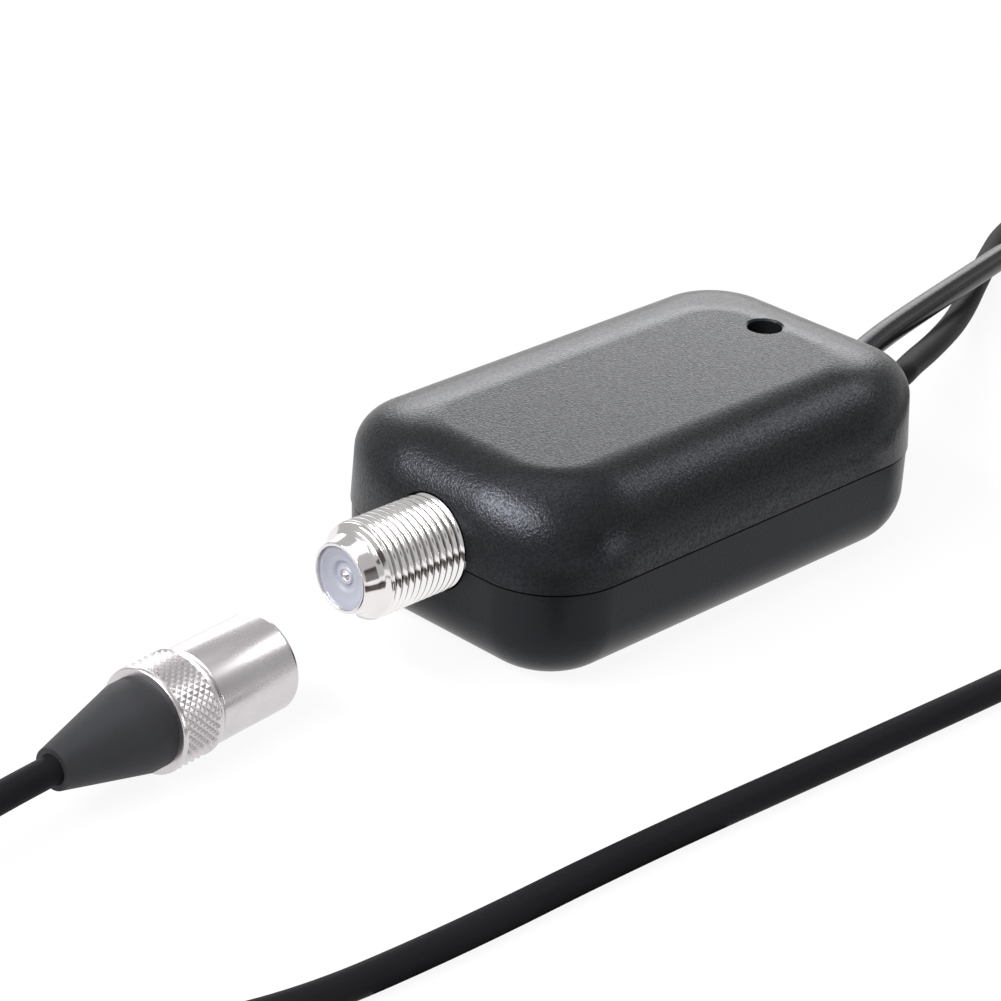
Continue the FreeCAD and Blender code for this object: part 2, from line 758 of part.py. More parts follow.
def make_chokes():
    """Drum cores and their copper windings."""
    cores = []
    windings = []
    for x, y in (("choke_a_x", "choke_a_y"), ("choke_b_x", "choke_b_y")):
        waist = new_rod("choke_waist", x, y, BOARD_TOP, "choke_waist_radius", "choke_height")
        foot = new_rod("choke_foot", x, y, BOARD_TOP, "choke_radius", "choke_disc")
        head = new_rod("choke_head", x, y, f"{BOARD_TOP} + choke_height - choke_disc", "choke_radius",
                       "choke_disc")
        cores.append(join("choke_core", [waist, foot, head]))
        winding = doc.addObject("Part::Cut", "choke_winding")
        winding.Base = new_rod("winding_outside", x, y, f"{BOARD_TOP} + choke_disc", "choke_wire_radius",
                               "choke_height - 2 * choke_disc")
        winding.Tool = new_rod("winding_inside", x, y, BOARD_TOP, "choke_waist_radius", "choke_height")
        windings.append(winding)
    return [join("choke_cores", cores, "Compound"), join("choke_windings", windings, "Compound")]


def make_capacitor_can():
    foot = new_box("can_base", "can_x", "can_y", BOARD_TOP, "can_foot", "can_foot", "can_foot_height")
    can = new_rod("can_barrel", "can_x", "can_y", BOARD_TOP, "can_radius", "can_height")
    return join("electrolytic_capacitor", [foot, can])


def make_chips(label, spots, length, width, height):
    """Small surface-mounted parts that share one size."""
    chips = [new_box("chip", str(x), str(y), BOARD_TOP, length, width, height) for x, y in spots]
    return join(label, chips, "Compound")


def make_lamp():
    """Domed pilot lamp on two long legs, its top just below the case."""
    top = f"{CASE_TOP} - lamp_sink"
    body = new_body("power_lamp")
    profile = new_sketch(body, "XZ_Plane")
    add_outline(profile, [
        ("0", "0"), ("0", "lamp_flange_radius"), ("lamp_flange_height", "lamp_flange_radius"),
        ("lamp_flange_height", "lamp_radius"), ("lamp_height", "lamp_radius"), ("lamp_height", "0"),
    ])
    solid = revolve(body, profile)
    height = size("lamp_height")
    rim = edges_where(solid, lambda box: abs(box.XMin - height) < 0.01 and box.XLength < 0.01 < box.YLength)
    dress(body, solid, "Fillet", rim, Radius="lamp_radius - lamp_flat")
    body.Placement.Rotation = FreeCAD.Rotation(FreeCAD.Vector(0, 1, 0), -90)
    bind(body, Placement__Base__x=LAMP_X, Placement__Base__y="lamp_y",
         Placement__Base__z=f"{top} - lamp_height")
    foot = "board_height - pin_length_below_board"
    legs = [new_rod("lamp_leg", LAMP_X, f"lamp_y {side} lamp_leg_pitch / 2", foot,
                    "lamp_leg_radius", f"{top} - lamp_height - ({foot})") for side in ("-", "+")]
    return [body, join("lamp_legs", legs, "Compound")]


# Where the leads come in

def make_grommet(label, side):
    """Soft bush held in the parting line, with a tapered nose outside."""
    inside = "case_length / 2 - overhang - wall - grommet_gap"
    outside = "case_length / 2"
    bore = "lead_radius + lead_bore_gap"
    body = turned(label, [
        (f"{inside} - grommet_flange", bore), (f"{inside} - grommet_flange", "grommet_flange_radius"),
        (inside, "grommet_flange_radius"), (inside, "grommet_neck_radius"),
        (f"{outside} + fit_gap", "grommet_neck_radius"), (f"{outside} + fit_gap", "grommet_flange_radius"),
        (f"{outside} + grommet_flange", "grommet_flange_radius"), (EXIT_X, "grommet_nose_radius"),
        (EXIT_X, bore),
    ])
    bind(body, Placement__Base__y=f"{side}lead_pitch / 2", Placement__Base__z="lower_height")
    return body


def exit_point(side):
    """Where a lead leaves its grommet."""
    return (worth(EXIT_X), side * worth("lead_pitch / 2"), worth("lower_height"))


def make_lead_ends():
    """What lies between the grommets and the board."""
    out_x, across, level = exit_point(1)
    inner = worth(INNER_END)
    board = worth(BOARD_TOP)
    bend = size("wire_bend")
    pieces = []
    for label, y in (("coax_inner_end", -across), ("power_inner_end", across)):
        pieces.append(bent_wire(label, [(inner, y, level), (out_x, y, level)], size("lead_radius")))
    bare = inner - size("dielectric_length")
    core_x = bare - size("core_length")
    pieces.append(bent_wire("coax_dielectric", [(inner, -across, level), (bare, -across, level)],
                            size("dielectric_radius")))
    pieces.append(bent_wire("coax_core", [(bare, -across, level), (core_x, -across, level),
                                          (core_x, -across, board)], size("core_radius"), bend))
    braid_x = inner - size("braid_length")
    braid_y = -across - size("braid_offset")
    pieces.append(bent_wire("coax_braid", [(inner, braid_y, level), (braid_x, braid_y, level),
                                           (braid_x, braid_y, board)], size("braid_radius"), bend))
    for label, side in (("positive_wire", 1), ("negative_wire", -1)):
        start = across + side * size("wire_offset")
        pad = across + size("pad_offset") + side * size("pad_spacing") / 2
        turn_x = inner - size("wire_straight")
        pad_x = inner - size("wire_length")
        pieces.append(bent_wire(label, [
            (inner, start, level), (turn_x, start, level), (pad_x, pad, level - size("wire_dip")),
            (pad_x, pad, board),
        ], size("wire_radius"), bend))
    return pieces


# Aerial plug, lying open end towards the case

def place_plug(body):
    bind(body, Placement__Base__x="plug_x", Placement__Base__y="plug_y",
         Placement__Base__z="plug_band_radius",
         Placement__Rotation__Angle="plug_turn")
    return body


def plug_point(back):
    """A point on the plug's axis, a distance behind its open end."""
    turn = math.radians(size("plug_turn"))
    return (size("plug_x") - back * math.cos(turn), size("plug_y") - back * math.sin(turn),
            size("plug_band_radius"))


def make_plug_shell():
    """Thin slit shell, a thicker band behind it and a tail that the boot grips."""
    band = "-plug_shell_length"
    tail = f"{band} - plug_band_length"
    end = f"{tail} - plug_tail_length"
    inside = "plug_shell_radius - plug_shell_wall"
    body = turned("plug_shell", [
        ("0", inside), ("0", "plug_shell_radius"), (band, "plug_shell_radius"), (band, "plug_band_radius"),
        (tail, "plug_band_radius"), (tail, "plug_tail_radius"), (end, "plug_tail_radius"),
        (end, "plug_core_radius"), ("-plug_cavity", "plug_core_radius"), ("-plug_cavity", inside),
    ])
    radius = size("plug_shell_radius")
    rim = edges_where(body.Tip, lambda box: abs(box.XMax) < 0.01 and box.XLength < 0.01
                      and abs(box.YLength - 2 * radius) < 0.01)
    dress(body, body.Tip, "Fillet", rim, Radius="plug_rim_round")
    return place_plug(body)


def make_plug_insulator():
    back = "-plug_cavity - plug_core_length"
    front = "-plug_cavity + plug_disc_thickness"
    return place_plug(turned("plug_insulator", [
        (front, "plug_pin_stem"), (front, "plug_shell_radius - plug_shell_wall"),
        ("-plug_cavity", "plug_shell_radius - plug_shell_wall"), ("-plug_cavity", "plug_core_radius"),
        (back, "plug_core_radius"), (back, "plug_pin_stem"),
    ]))


def make_plug_pin():
    """Centre pin with a rounded tip, stepped down where it passes the insulator."""
    tip = "-plug_pin_inset"
    step = "-plug_cavity + plug_disc_thickness"
    back = "-plug_cavity - plug_core_length - plug_pin_tail"
    body = turned("plug_pin", [
        (tip, "0"), (tip, "plug_pin_radius"), (step, "plug_pin_radius"), (step, "plug_pin_stem"),
        (back, "plug_pin_stem"), (back, "0"),
    ])
    inset = size("plug_pin_inset")
    slack = 0.01
    nose = edges_where(body.Tip, lambda box: abs(box.XMin + inset) < slack and box.XLength < slack < box.YLength)
    dress(body, body.Tip, "Fillet", nose, Radius="plug_pin_radius - plug_pin_flat")
    return place_plug(body)


def make_plug_boot():
    """Tapered soft boot over the tail, closed round the lead."""
    tail = "-plug_shell_length - plug_band_length"
    end = f"{tail} - plug_boot_length"
    bore = "lead_radius + lead_bore_gap"
    return place_plug(turned("plug_boot", [
        (tail, "plug_tail_radius"), (tail, "plug_boot_radius"),
        (f"{tail} - plug_tail_length", "plug_boot_radius"),
        (end, "plug_boot_end_radius"), (end, bore), (f"{tail} - plug_tail_length", bore),
        (f"{tail} - plug_tail_length", "plug_tail_radius"),
    ]))


def make_plug():
    behind = worth("plug_shell_length + plug_band_length")
    jacket = [plug_point(behind + size("plug_boot_length")), plug_point(behind)]
    return [make_plug_shell(), make_plug_insulator(), make_plug_pin(), make_plug_boot(),
            bent_wire("coax_plug_end", jacket, size("lead_radius"))]


# Flat power plug

GRIP_FRONT = "flat_x - flat_relief_length - flat_grip_length"


def make_flat_grip():
    """Moulded grip with a tapered relief for the lead."""
    body = new_body("flat_grip")
    outline = new_sketch(body, "XY_Plane", "-flat_grip_height / 2")
    add_rounded(outline, "flat_grip_length", "flat_grip_width", "flat_grip_corner")
    block = extrude(body, outline, "Pad", "flat_grip_height")
    half = size("flat_grip_height") / 2
    rims = edges_where(block, lies_at(-half)) + edges_where(block, lies_at(half))
    dress(body, block, "Fillet", rims, Radius="flat_grip_round")
    profile = new_sketch(body, "XZ_Plane")
    add_outline(profile, [
        ("0", "0"), ("0", "flat_relief_radius"), ("flat_grip_length / 2", "flat_relief_radius"),
        ("flat_grip_length / 2 + flat_relief_length", "flat_relief_end"),
        ("flat_grip_length / 2 + flat_relief_length", "0"),
    ])
    revolve(body, profile)
    bind(body, Placement__Base__x=f"{GRIP_FRONT} + flat_grip_length / 2", Placement__Base__y="flat_y",
         Placement__Base__z="flat_grip_height / 2")
    return body


def cut_from(label, base, tools):
    piece = doc.addObject("Part::Cut", label)
    piece.Label = label
    piece.Base = base
    piece.Tool = tools[0] if len(tools) == 1 else join("cutters", tools)
    return piece


def make_flat_shell():
    """Open metal box with two spring windows in its top."""
    middle = f"{GRIP_FRONT} - flat_shell_length / 2"
    bottom = "flat_grip_height / 2 - flat_shell_height / 2"
    outside = new_box("shell_outside", middle, "flat_y", bottom, "flat_shell_length", "flat_shell_width",
                      "flat_shell_height")
    inside = new_box("shell_inside", middle, "flat_y", f"{bottom} + flat_shell_wall",
                     f"flat_shell_length + {MARGIN}", "flat_shell_width - 2 * flat_shell_wall",
                     "flat_shell_height - 2 * flat_shell_wall")
    windows = [new_box("window", f"{GRIP_FRONT} - flat_shell_length + flat_window_x",
                       f"flat_y {side} flat_window_y", "flat_grip_height / 2", "flat_window_length",
                       "flat_window_width", "flat_shell_height")
               for side in ("-", "+")]
    return cut_from("flat_shell", outside, [inside] + windows)


def make_flat_tongue():
    """Plastic tongue in the upper half of the shell and its four contacts."""
    length = "flat_shell_length - flat_tongue_inset"
    middle = f"{GRIP_FRONT} - ({length}) / 2"
    under = "flat_grip_height / 2 + flat_shell_height / 2 - flat_shell_wall - flat_tongue_height"
    tongue = new_box("flat_tongue", middle, "flat_y", under, length, "flat_shell_width - 2 * flat_shell_wall",
                     "flat_tongue_height")
    tongue.Label = "flat_tongue"
    contacts = [new_box("flat_contact", f"{GRIP_FRONT} - flat_contact_length / 2",
                        f"flat_y + {step} * flat_contact_pitch / 2", f"{under} - flat_contact_height",
                        "flat_contact_length", "flat_contact_width", "flat_contact_height")
                for step in (-3, -1, 1, 3)]
    return [tongue, join("flat_contacts", contacts, "Compound")]


# The leads outside, and the put-away coil

def coil_levels():
    """Heights of the coil's two layers: the lower one rests on the tie."""
    low = worth("tie_thickness + tie_gap + lead_radius")
    return low, low + size("coil_pitch")


def coil_edges():
    """One unbroken path: a flat spiral inwards, a climb in its tightest half turn, a spiral outwards."""
    centre_x, centre_y, pitch = size("coil_x"), size("coil_y"), size("coil_pitch")
    low, high = coil_levels()
    inward, out = int(size("coil_half_turns_in")), int(size("coil_half_turns_out"))
    radii = [size("coil_outer_radius") - pitch / 2 * step for step in range(inward + 1)]
    outward = radii[-1] + pitch / 2 + size("coil_reversal")
    radii += [outward + pitch / 2 * step for step in range(out + 1)]

    def spot(step):
        side = 1 if step % 2 == 0 else -1
        return FreeCAD.Vector(centre_x + side * radii[step], centre_y, low if step < inward else high)

    start = spot(0)
    lead_in = start + FreeCAD.Vector(0, 2 * size("lead_radius"), 0)
    edges = [Part.LineSegment(lead_in, start).toShape()]
    for step in range(inward + out):
        here, there = spot(step), spot(step + 1)
        heading = -1 if step % 2 == 0 else 1
        depth = FreeCAD.Vector(0, heading * (there - here).Length / 2, 0)
        if step == inward - 1:
            first, second = here + depth, there + depth
            joint = (first + second) * 0.5
            edges.append(Part.Arc(here, arc_middle(here, first, joint), joint).toShape())
            edges.append(Part.Arc(joint, arc_middle(joint, second, there), there).toShape())
        else:
            edges.append(Part.Arc(here, (here + there) * 0.5 + depth, there).toShape())
    here, there = spot(inward + out), spot(inward + out + 1)
    reach = (there - here).Length / 2
    last = (here + there) * 0.5 - FreeCAD.Vector(0, reach, 0)
    edges.append(Part.Arc(here, arc_middle(here, here - FreeCAD.Vector(0, reach, 0), last), last).toShape())
    tail = last - FreeCAD.Vector(2 * size("lead_radius"), 0, 0)
    edges.append(Part.LineSegment(last, tail).toShape())
    return edges, lead_in, tail


def least_gap(edges, radius):
    """Smallest clear space between stretches of a path that are not neighbours along it."""
    path = Part.Wire(edges)
    step = radius
    count = int(path.Length / step)
    spots = path.discretize(Number=count)
    skip = int(4 * math.pi * radius / step)
    nearest = min((spots[i] - spots[j]).Length for i in range(count) for j in range(i + skip, count))
    return nearest - 2 * radius


def make_leads():
    radius = size("lead_radius")
    _, across, level = exit_point(1)
    behind = worth("plug_shell_length + plug_band_length + plug_boot_length")
    coax = bent_wire("coax_lead", [exit_point(-1), *COAX_ROUTE, plug_point(behind + size("plug_approach")),
                                   plug_point(behind)], radius)
    edges, coil_start, coil_end = coil_edges()
    low, high = coil_levels()
    before = (coil_start.x, coil_start.y + worth("flat_straight * 2"), low)
    power = bent_wire("power_lead", [exit_point(1), *POWER_ROUTE, before, tuple(coil_start)], radius)
    coil = round_stock("power_lead_coil", edges, radius, f"least gap {least_gap(edges, radius):.2f}")
    end = (size("flat_x"), size("flat_y"), worth("flat_grip_height / 2"))
    straight = size("flat_straight")
    tail = bent_wire("power_lead_tail", [
        tuple(coil_end), (coil_end.x - straight, coil_end.y, coil_end.z),
        (end[0] + straight, end[1], end[2]), end,
    ], radius)
    return [coax, power, coil, tail]


def make_tie():
    """Flat strap round the coil's bundle, with its head on the outside."""
    body = new_body("cable_tie")
    inner = "coil_outer_radius - coil_pitch / 2 * coil_half_turns_in - lead_radius"
    outer = "coil_outer_radius - coil_pitch / 2 + lead_radius + tie_gap"
    top = "tie_thickness + 2 * tie_gap + 2 * lead_radius + coil_pitch"
    strap = new_sketch(body, "XZ_Plane")
    add_rectangle(strap, f"{inner} - tie_thickness", f"{outer} + tie_thickness", "0",
                  f"{top} + tie_thickness")
    add_rectangle(strap, inner, outer, "tie_thickness", top)
    extrude(body, strap, "Pad", "tie_width").Midplane = True
    head = new_sketch(body, "XZ_Plane")
    add_rectangle(head, f"{outer} + tie_thickness / 2", f"{outer} + tie_thickness + tie_head_length",
                  "tie_head_bottom", "tie_head_top")
    extrude(body, head, "Pad", "tie_head_width").Midplane = True
    bind(body, Placement__Base__x="coil_x", Placement__Base__y="coil_y",
         Placement__Rotation__Angle="tie_angle")
    return body


def check_and_write(pieces):
    """Write each piece, once nothing in the document has failed."""
    doc.recompute()
    for item in doc.Objects:
        if {"Invalid", "Error"} & set(item.State):
            raise RuntimeError(f"{item.Name} of {item.Label} failed: {item.State}")
    os.makedirs("parts", exist_ok=True)
    for piece in pieces:
        if piece.Shape.isNull() or not piece.Shape.isValid():
            raise RuntimeError(f"{piece.Label} has no valid shape")
        piece.Shape.exportStep(f"parts/{piece.Label}.step")
        print(f"{piece.Label}: {len(piece.Shape.Solids)} solid, {piece.Shape.Volume:.2f} cubic mm")


pieces = [
    make_lower_case(), make_upper_case(),
    make_socket(), make_socket_insulator(), make_socket_contact(),
    make_board(), make_amplifier_chip(), *make_chokes(), make_capacitor_can(),
    make_chips("chip_capacitors", CAPACITOR_SPOTS, "capacitor_length", "capacitor_width", "capacitor_height"),
    make_chips("chip_resistors", RESISTOR_SPOTS, "resistor_length", "resistor_width", "resistor_height"),
    *make_lamp(),
    make_grommet("coax_grommet", "-"), make_grommet("power_grommet", ""), *make_lead_ends(),
    *make_plug(), *make_leads(), make_tie(),
    make_flat_grip(), make_flat_shell(), *make_flat_tongue(),
]
check_and_write(pieces)
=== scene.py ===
# %% [markdown]
# # In-line television aerial amplifier
# A small black moulded box boosts the signal of a television aerial. A threaded
# nickel socket stands out of one short end, and two leads leave the other: a coaxial
# one with an aerial plug, and a power lead whose spare length is coiled and tied.
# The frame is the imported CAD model. It is loaded once and never moved, and every
# piece made here is placed in its coordinates, in metres.

# %% Load the frame
import math

import bmesh
import bpy
from mathutils import Matrix, Vector


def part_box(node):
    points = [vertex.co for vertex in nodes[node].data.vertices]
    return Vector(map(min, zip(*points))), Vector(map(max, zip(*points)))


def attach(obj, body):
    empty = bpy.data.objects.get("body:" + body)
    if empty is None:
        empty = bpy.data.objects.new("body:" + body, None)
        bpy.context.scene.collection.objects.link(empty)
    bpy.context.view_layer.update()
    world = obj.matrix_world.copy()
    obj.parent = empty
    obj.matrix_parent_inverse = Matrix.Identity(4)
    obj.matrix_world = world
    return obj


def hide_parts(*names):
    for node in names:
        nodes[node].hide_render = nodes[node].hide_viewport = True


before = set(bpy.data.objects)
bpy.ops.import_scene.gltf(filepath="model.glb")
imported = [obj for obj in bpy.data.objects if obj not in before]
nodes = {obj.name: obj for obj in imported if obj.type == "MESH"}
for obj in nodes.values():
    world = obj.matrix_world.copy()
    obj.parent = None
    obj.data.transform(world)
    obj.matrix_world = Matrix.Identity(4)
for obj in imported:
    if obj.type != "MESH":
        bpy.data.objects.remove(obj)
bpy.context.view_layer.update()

MM = 0.001

# %% [markdown]
# ## Helpers for finishes
# A material is a small tree of nodes. Each one here starts from the Principled
# shader and reads Object coordinates, so its pattern stays with the piece.
# Two effects turn up in many finishes and are built once as node groups: the
# pebbled grain of spark-eroded mould faces, and the faint smudges of handled metal.

# %% Node helpers
def link(tree, source, target):
    tree.links.new(source, target)


def new_group(name, inputs, outputs):
    group = bpy.data.node_groups.new(name, "ShaderNodeTree")
    for label, kind, default in inputs:
        socket = group.interface.new_socket(label, in_out="INPUT", socket_type=kind)
        if default is not None:
            socket.default_value = default
    for label, kind in outputs:
        group.interface.new_socket(label, in_out="OUTPUT", socket_type=kind)
    return group, group.nodes.new("NodeGroupInput"), group.nodes.new("NodeGroupOutput")


def math_node(tree, operation, first, second=0.0):
    node = tree.nodes.new("ShaderNodeMath")
    node.operation = operation
    for socket, value in zip(node.inputs, (first, second)):
        if isinstance(value, (int, float)):
            socket.default_value = value
        else:
            link(tree, value, socket)
    return node.outputs[0]


def noise_node(tree, vector, scale, detail=2.0, roughness=0.5):
    node = tree.nodes.new("ShaderNodeTexNoise")
    node.inputs["Detail"].default_value = detail
    node.inputs["Roughness"].default_value = roughness
    link(tree, vector, node.inputs["Vector"])
    if isinstance(scale, (int, float)):
        node.inputs["Scale"].default_value = scale
    else:
        link(tree, scale, node.inputs["Scale"])
    return node.outputs["Fac"]


def spread(tree, value, low, high):
    """Map a value from 0..1 onto low..high."""
    node = tree.nodes.new("ShaderNodeMapRange")
    node.inputs["To Min"].default_value = low
    node.inputs["To Max"].default_value = high
    link(tree, value, node.inputs["Value"])
    return node.outputs["Result"]


def blend_colour(tree, factor, first, second):
    node = tree.nodes.new("ShaderNodeMix")
    node.data_type = "RGBA"
    link(tree, factor, node.inputs["Factor"])
    for socket, value in ((node.inputs["A"], first), (node.inputs["B"], second)):
        if isinstance(value, tuple):
            socket.default_value = (*value, 1.0)
        else:
            link(tree, value, socket)
    return node.outputs["Result"]


def new_material(name):
    """A material with its Principled shader and Object coordinates ready to use."""
    material = bpy.data.materials.new(name)
    material.use_nodes = True
    tree = material.node_tree
    shader = tree.nodes["Principled BSDF"]
    where = tree.nodes.new("ShaderNodeTexCoord").outputs["Object"]
    return material, tree, shader, where


def add_bump(tree, shader, height, depth, base=None):
    bump = tree.nodes.new("ShaderNodeBump")
    bump.inputs["Distance"].default_value = depth
    link(tree, height, bump.inputs["Height"])
    if base is not None:
        link(tree, base, bump.inputs["Normal"])
    link(tree, bump.outputs["Normal"], shader.inputs["Normal"])


# %% Group: pebbled grain of a mould face
grain_group, entry, leave = new_group(
    "Moulded grain",
    [("Vector", "NodeSocketVector", None), ("Grain per metre", "NodeSocketFloat", 2200.0),
     ("Speckle", "NodeSocketFloat", 0.35)],
    [("Height", "NodeSocketFloat"), ("Patches", "NodeSocketFloat")],
)
PEBBLE_SHIFT = 0.0003
pebbles = grain_group.nodes.new("ShaderNodeTexVoronoi")
pebbles.feature = "SMOOTH_F1"
pebbles.inputs["Smoothness"].default_value = 0.6
wobble = noise_node(grain_group, entry.outputs["Vector"], 900.0, 1.0)
shifted = grain_group.nodes.new("ShaderNodeVectorMath")
shifted.operation = "MULTIPLY_ADD"
link(grain_group, entry.outputs["Vector"], shifted.inputs[0])
shifted.inputs[1].default_value = (1.0, 1.0, 1.0)
offset = grain_group.nodes.new("ShaderNodeCombineXYZ")
for axis in (0, 1):
    link(grain_group, math_node(grain_group, "MULTIPLY", wobble, PEBBLE_SHIFT), offset.inputs[axis])
link(grain_group, offset.outputs[0], shifted.inputs[2])
link(grain_group, shifted.outputs[0], pebbles.inputs["Vector"])
link(grain_group, entry.outputs["Grain per metre"], pebbles.inputs["Scale"])
fine = noise_node(grain_group, entry.outputs["Vector"], 3600.0, 3.0, 0.65)
speckled = math_node(grain_group, "MULTIPLY", fine, entry.outputs["Speckle"])
height = math_node(grain_group, "ADD", pebbles.outputs["Distance"], speckled)
link(grain_group, height, leave.inputs["Height"])
link(grain_group, noise_node(grain_group, entry.outputs["Vector"], 90.0, 3.0), leave.inputs["Patches"])
print("group:", grain_group.name)

# %% Group: smudges on handled metal
smudge_group, entry, leave = new_group(
    "Handled metal",
    [("Vector", "NodeSocketVector", None), ("Low", "NodeSocketFloat", 0.08),
     ("High", "NodeSocketFloat", 0.22)],
    [("Roughness", "NodeSocketFloat"), ("Tint", "NodeSocketFloat")],
)
coarse = noise_node(smudge_group, entry.outputs["Vector"], 260.0, 4.0, 0.6)
fine = noise_node(smudge_group, entry.outputs["Vector"], 2400.0, 2.0)
mixed = math_node(smudge_group, "ADD", math_node(smudge_group, "MULTIPLY", coarse, 0.7),
                  math_node(smudge_group, "MULTIPLY", fine, 0.3))
span = math_node(smudge_group, "SUBTRACT", entry.outputs["High"], entry.outputs["Low"])
rough = math_node(smudge_group, "ADD", entry.outputs["Low"], math_node(smudge_group, "MULTIPLY", mixed, span))
link(smudge_group, rough, leave.inputs["Roughness"])
link(smudge_group, coarse, leave.inputs["Tint"])
print("group:", smudge_group.name)

# %% [markdown]
# ## A softer shoulder
# The sheen on the photo's lid stops about eight millimetres short of its sides, so the
# real lid rolls over more widely than the CAD one. A group works out the normals of
# that wider round from the size of the lid. It uses them only where they lie near the
# mesh's own normals, so the hole and the inner faces stay as they are.

# %% Group: normals of a wide shoulder
shoulder_group, entry, leave = new_group(
    "Wide shoulder",
    [("Vector", "NodeSocketVector", None), ("Straight half", "NodeSocketVector", (0.01625, 0.0045, 1.0)),
     ("Corner", "NodeSocketFloat", 0.0115), ("Round", "NodeSocketFloat", 0.0075),
     ("Height", "NodeSocketFloat", 0.0194)],
    [("Normal", "NodeSocketVector")],
)


def vector_node(tree, operation, *values):
    node = tree.nodes.new("ShaderNodeVectorMath")
    node.operation = operation
    for socket, value in zip(node.inputs, values):
        if isinstance(value, tuple):
            socket.default_value = value
        else:
            link(tree, value, socket)
    return node.outputs["Value"] if operation in ("LENGTH", "DOT_PRODUCT") else node.outputs["Vector"]


spot = entry.outputs["Vector"]
past = vector_node(shoulder_group, "ABSOLUTE", spot)
past = vector_node(shoulder_group, "SUBTRACT", past, entry.outputs["Straight half"])
past = vector_node(shoulder_group, "MAXIMUM", past, (0.0, 0.0, 0.0))
side = vector_node(shoulder_group, "MULTIPLY", vector_node(shoulder_group, "NORMALIZE", past),
                   vector_node(shoulder_group, "SIGN", spot))
flat_part = math_node(shoulder_group, "SUBTRACT", entry.outputs["Corner"], entry.outputs["Round"])
away = math_node(shoulder_group, "SUBTRACT", vector_node(shoulder_group, "LENGTH", past), flat_part)
away = math_node(shoulder_group, "MAXIMUM", away, 0.0)
height_of = shoulder_group.nodes.new("ShaderNodeSeparateXYZ")
link(shoulder_group, spot, height_of.inputs[0])
start = math_node(shoulder_group, "SUBTRACT", entry.outputs["Height"], entry.outputs["Round"])
rise = math_node(shoulder_group, "SUBTRACT", height_of.outputs["Z"], start)
LEAST_RISE = 0.000001
rise = math_node(shoulder_group, "MAXIMUM", rise, LEAST_RISE)
upward = shoulder_group.nodes.new("ShaderNodeCombineXYZ")
link(shoulder_group, rise, upward.inputs["Z"])
outward = shoulder_group.nodes.new("ShaderNodeVectorMath")
outward.operation = "SCALE"
link(shoulder_group, side, outward.inputs[0])
link(shoulder_group, away, outward.inputs["Scale"])
wanted = vector_node(shoulder_group, "ADD", outward.outputs["Vector"], upward.outputs[0])
wanted = vector_node(shoulder_group, "NORMALIZE", wanted)
in_world = shoulder_group.nodes.new("ShaderNodeVectorTransform")
in_world.vector_type = "NORMAL"
in_world.convert_from = "OBJECT"
in_world.convert_to = "WORLD"
link(shoulder_group, wanted, in_world.inputs["Vector"])
given = shoulder_group.nodes.new("ShaderNodeNewGeometry").outputs["Normal"]
agree = shoulder_group.nodes.new("ShaderNodeMapRange")
agree.interpolation_type = "SMOOTHSTEP"
agree.inputs["From Min"].default_value = 0.55
agree.inputs["From Max"].default_value = 0.75
likeness = vector_node(shoulder_group, "DOT_PRODUCT", in_world.outputs["Vector"], given)
link(shoulder_group, likeness, agree.inputs["Value"])
chosen = shoulder_group.nodes.new("ShaderNodeMix")
chosen.data_type = "VECTOR"
link(shoulder_group, agree.outputs["Result"], chosen.inputs["Factor"])
link(shoulder_group, given, chosen.inputs["A"])
link(shoulder_group, in_world.outputs["Vector"], chosen.inputs["B"])
link(shoulder_group, chosen.outputs["Result"], leave.inputs["Normal"])
print("group:", shoulder_group.name)

# %% [markdown]
# ## Finishes
# The case is black plastic from a textured mould: nearly black on its sides, with a
# soft sheen on the top where light comes in low. The grain is a small bump, about a
# quarter of a millimetre from pebble to pebble, and on the lid some grains shine more
# than others. Nickel is a bright metal with a slightly warm tint.

# %% Moulded plastics
COOL_SHEEN = (0.83, 0.86, 1.0, 1.0)


def grained_plastic(name, dark, light, roughness, grain, depth, speckle=0.35, shine=0.3, shoulder=False):
    """Black plastic with a moulded grain, and on the lid the normals of the wide shoulder."""
    material, tree, shader, where = new_material(name)
    shader.inputs["Specular Tint"].default_value = COOL_SHEEN
    group = tree.nodes.new("ShaderNodeGroup")
    group.node_tree = grain_group
    link(tree, where, group.inputs["Vector"])
    group.inputs["Grain per metre"].default_value = grain
    group.inputs["Speckle"].default_value = speckle
    link(tree, blend_colour(tree, group.outputs["Patches"], dark, light), shader.inputs["Base Color"])
    link(tree, spread(tree, group.outputs["Patches"], *roughness), shader.inputs["Roughness"])
    shader.inputs["Specular IOR Level"].default_value = shine
    base = None
    if shoulder:
        round_off = tree.nodes.new("ShaderNodeGroup")
        round_off.node_tree = shoulder_group
        link(tree, where, round_off.inputs["Vector"])
        base = round_off.outputs["Normal"]
    add_bump(tree, shader, group.outputs["Height"], depth, base)
    return material


CASE_TONES = ((0.006, 0.0065, 0.007), (0.009, 0.0095, 0.01))
LEAD_TONES = ((0.008, 0.008, 0.009), (0.012, 0.012, 0.013))
case_plastic = grained_plastic("case plastic", *CASE_TONES, roughness=(0.26, 0.32), grain=4200.0,
                               depth=0.000013, speckle=1.0, shine=0.17)
lid_plastic = grained_plastic("lid plastic", *CASE_TONES, roughness=(0.26, 0.32), grain=4200.0,
                              depth=0.000017, speckle=1.6, shine=0.25, shoulder=True)
grip_plastic = grained_plastic("grip plastic", (0.012, 0.012, 0.013), (0.02, 0.02, 0.021),
                               roughness=(0.45, 0.6), grain=2600.0, depth=0.00003)
bush_rubber = grained_plastic("bush rubber", (0.014, 0.014, 0.015), (0.024, 0.024, 0.025),
                              roughness=(0.5, 0.65), grain=1500.0, depth=0.00002)
lead_plastic = grained_plastic("lead plastic", *LEAD_TONES, roughness=(0.26, 0.34), grain=1200.0,
                               depth=0.000012, speckle=0.15, shine=0.14)
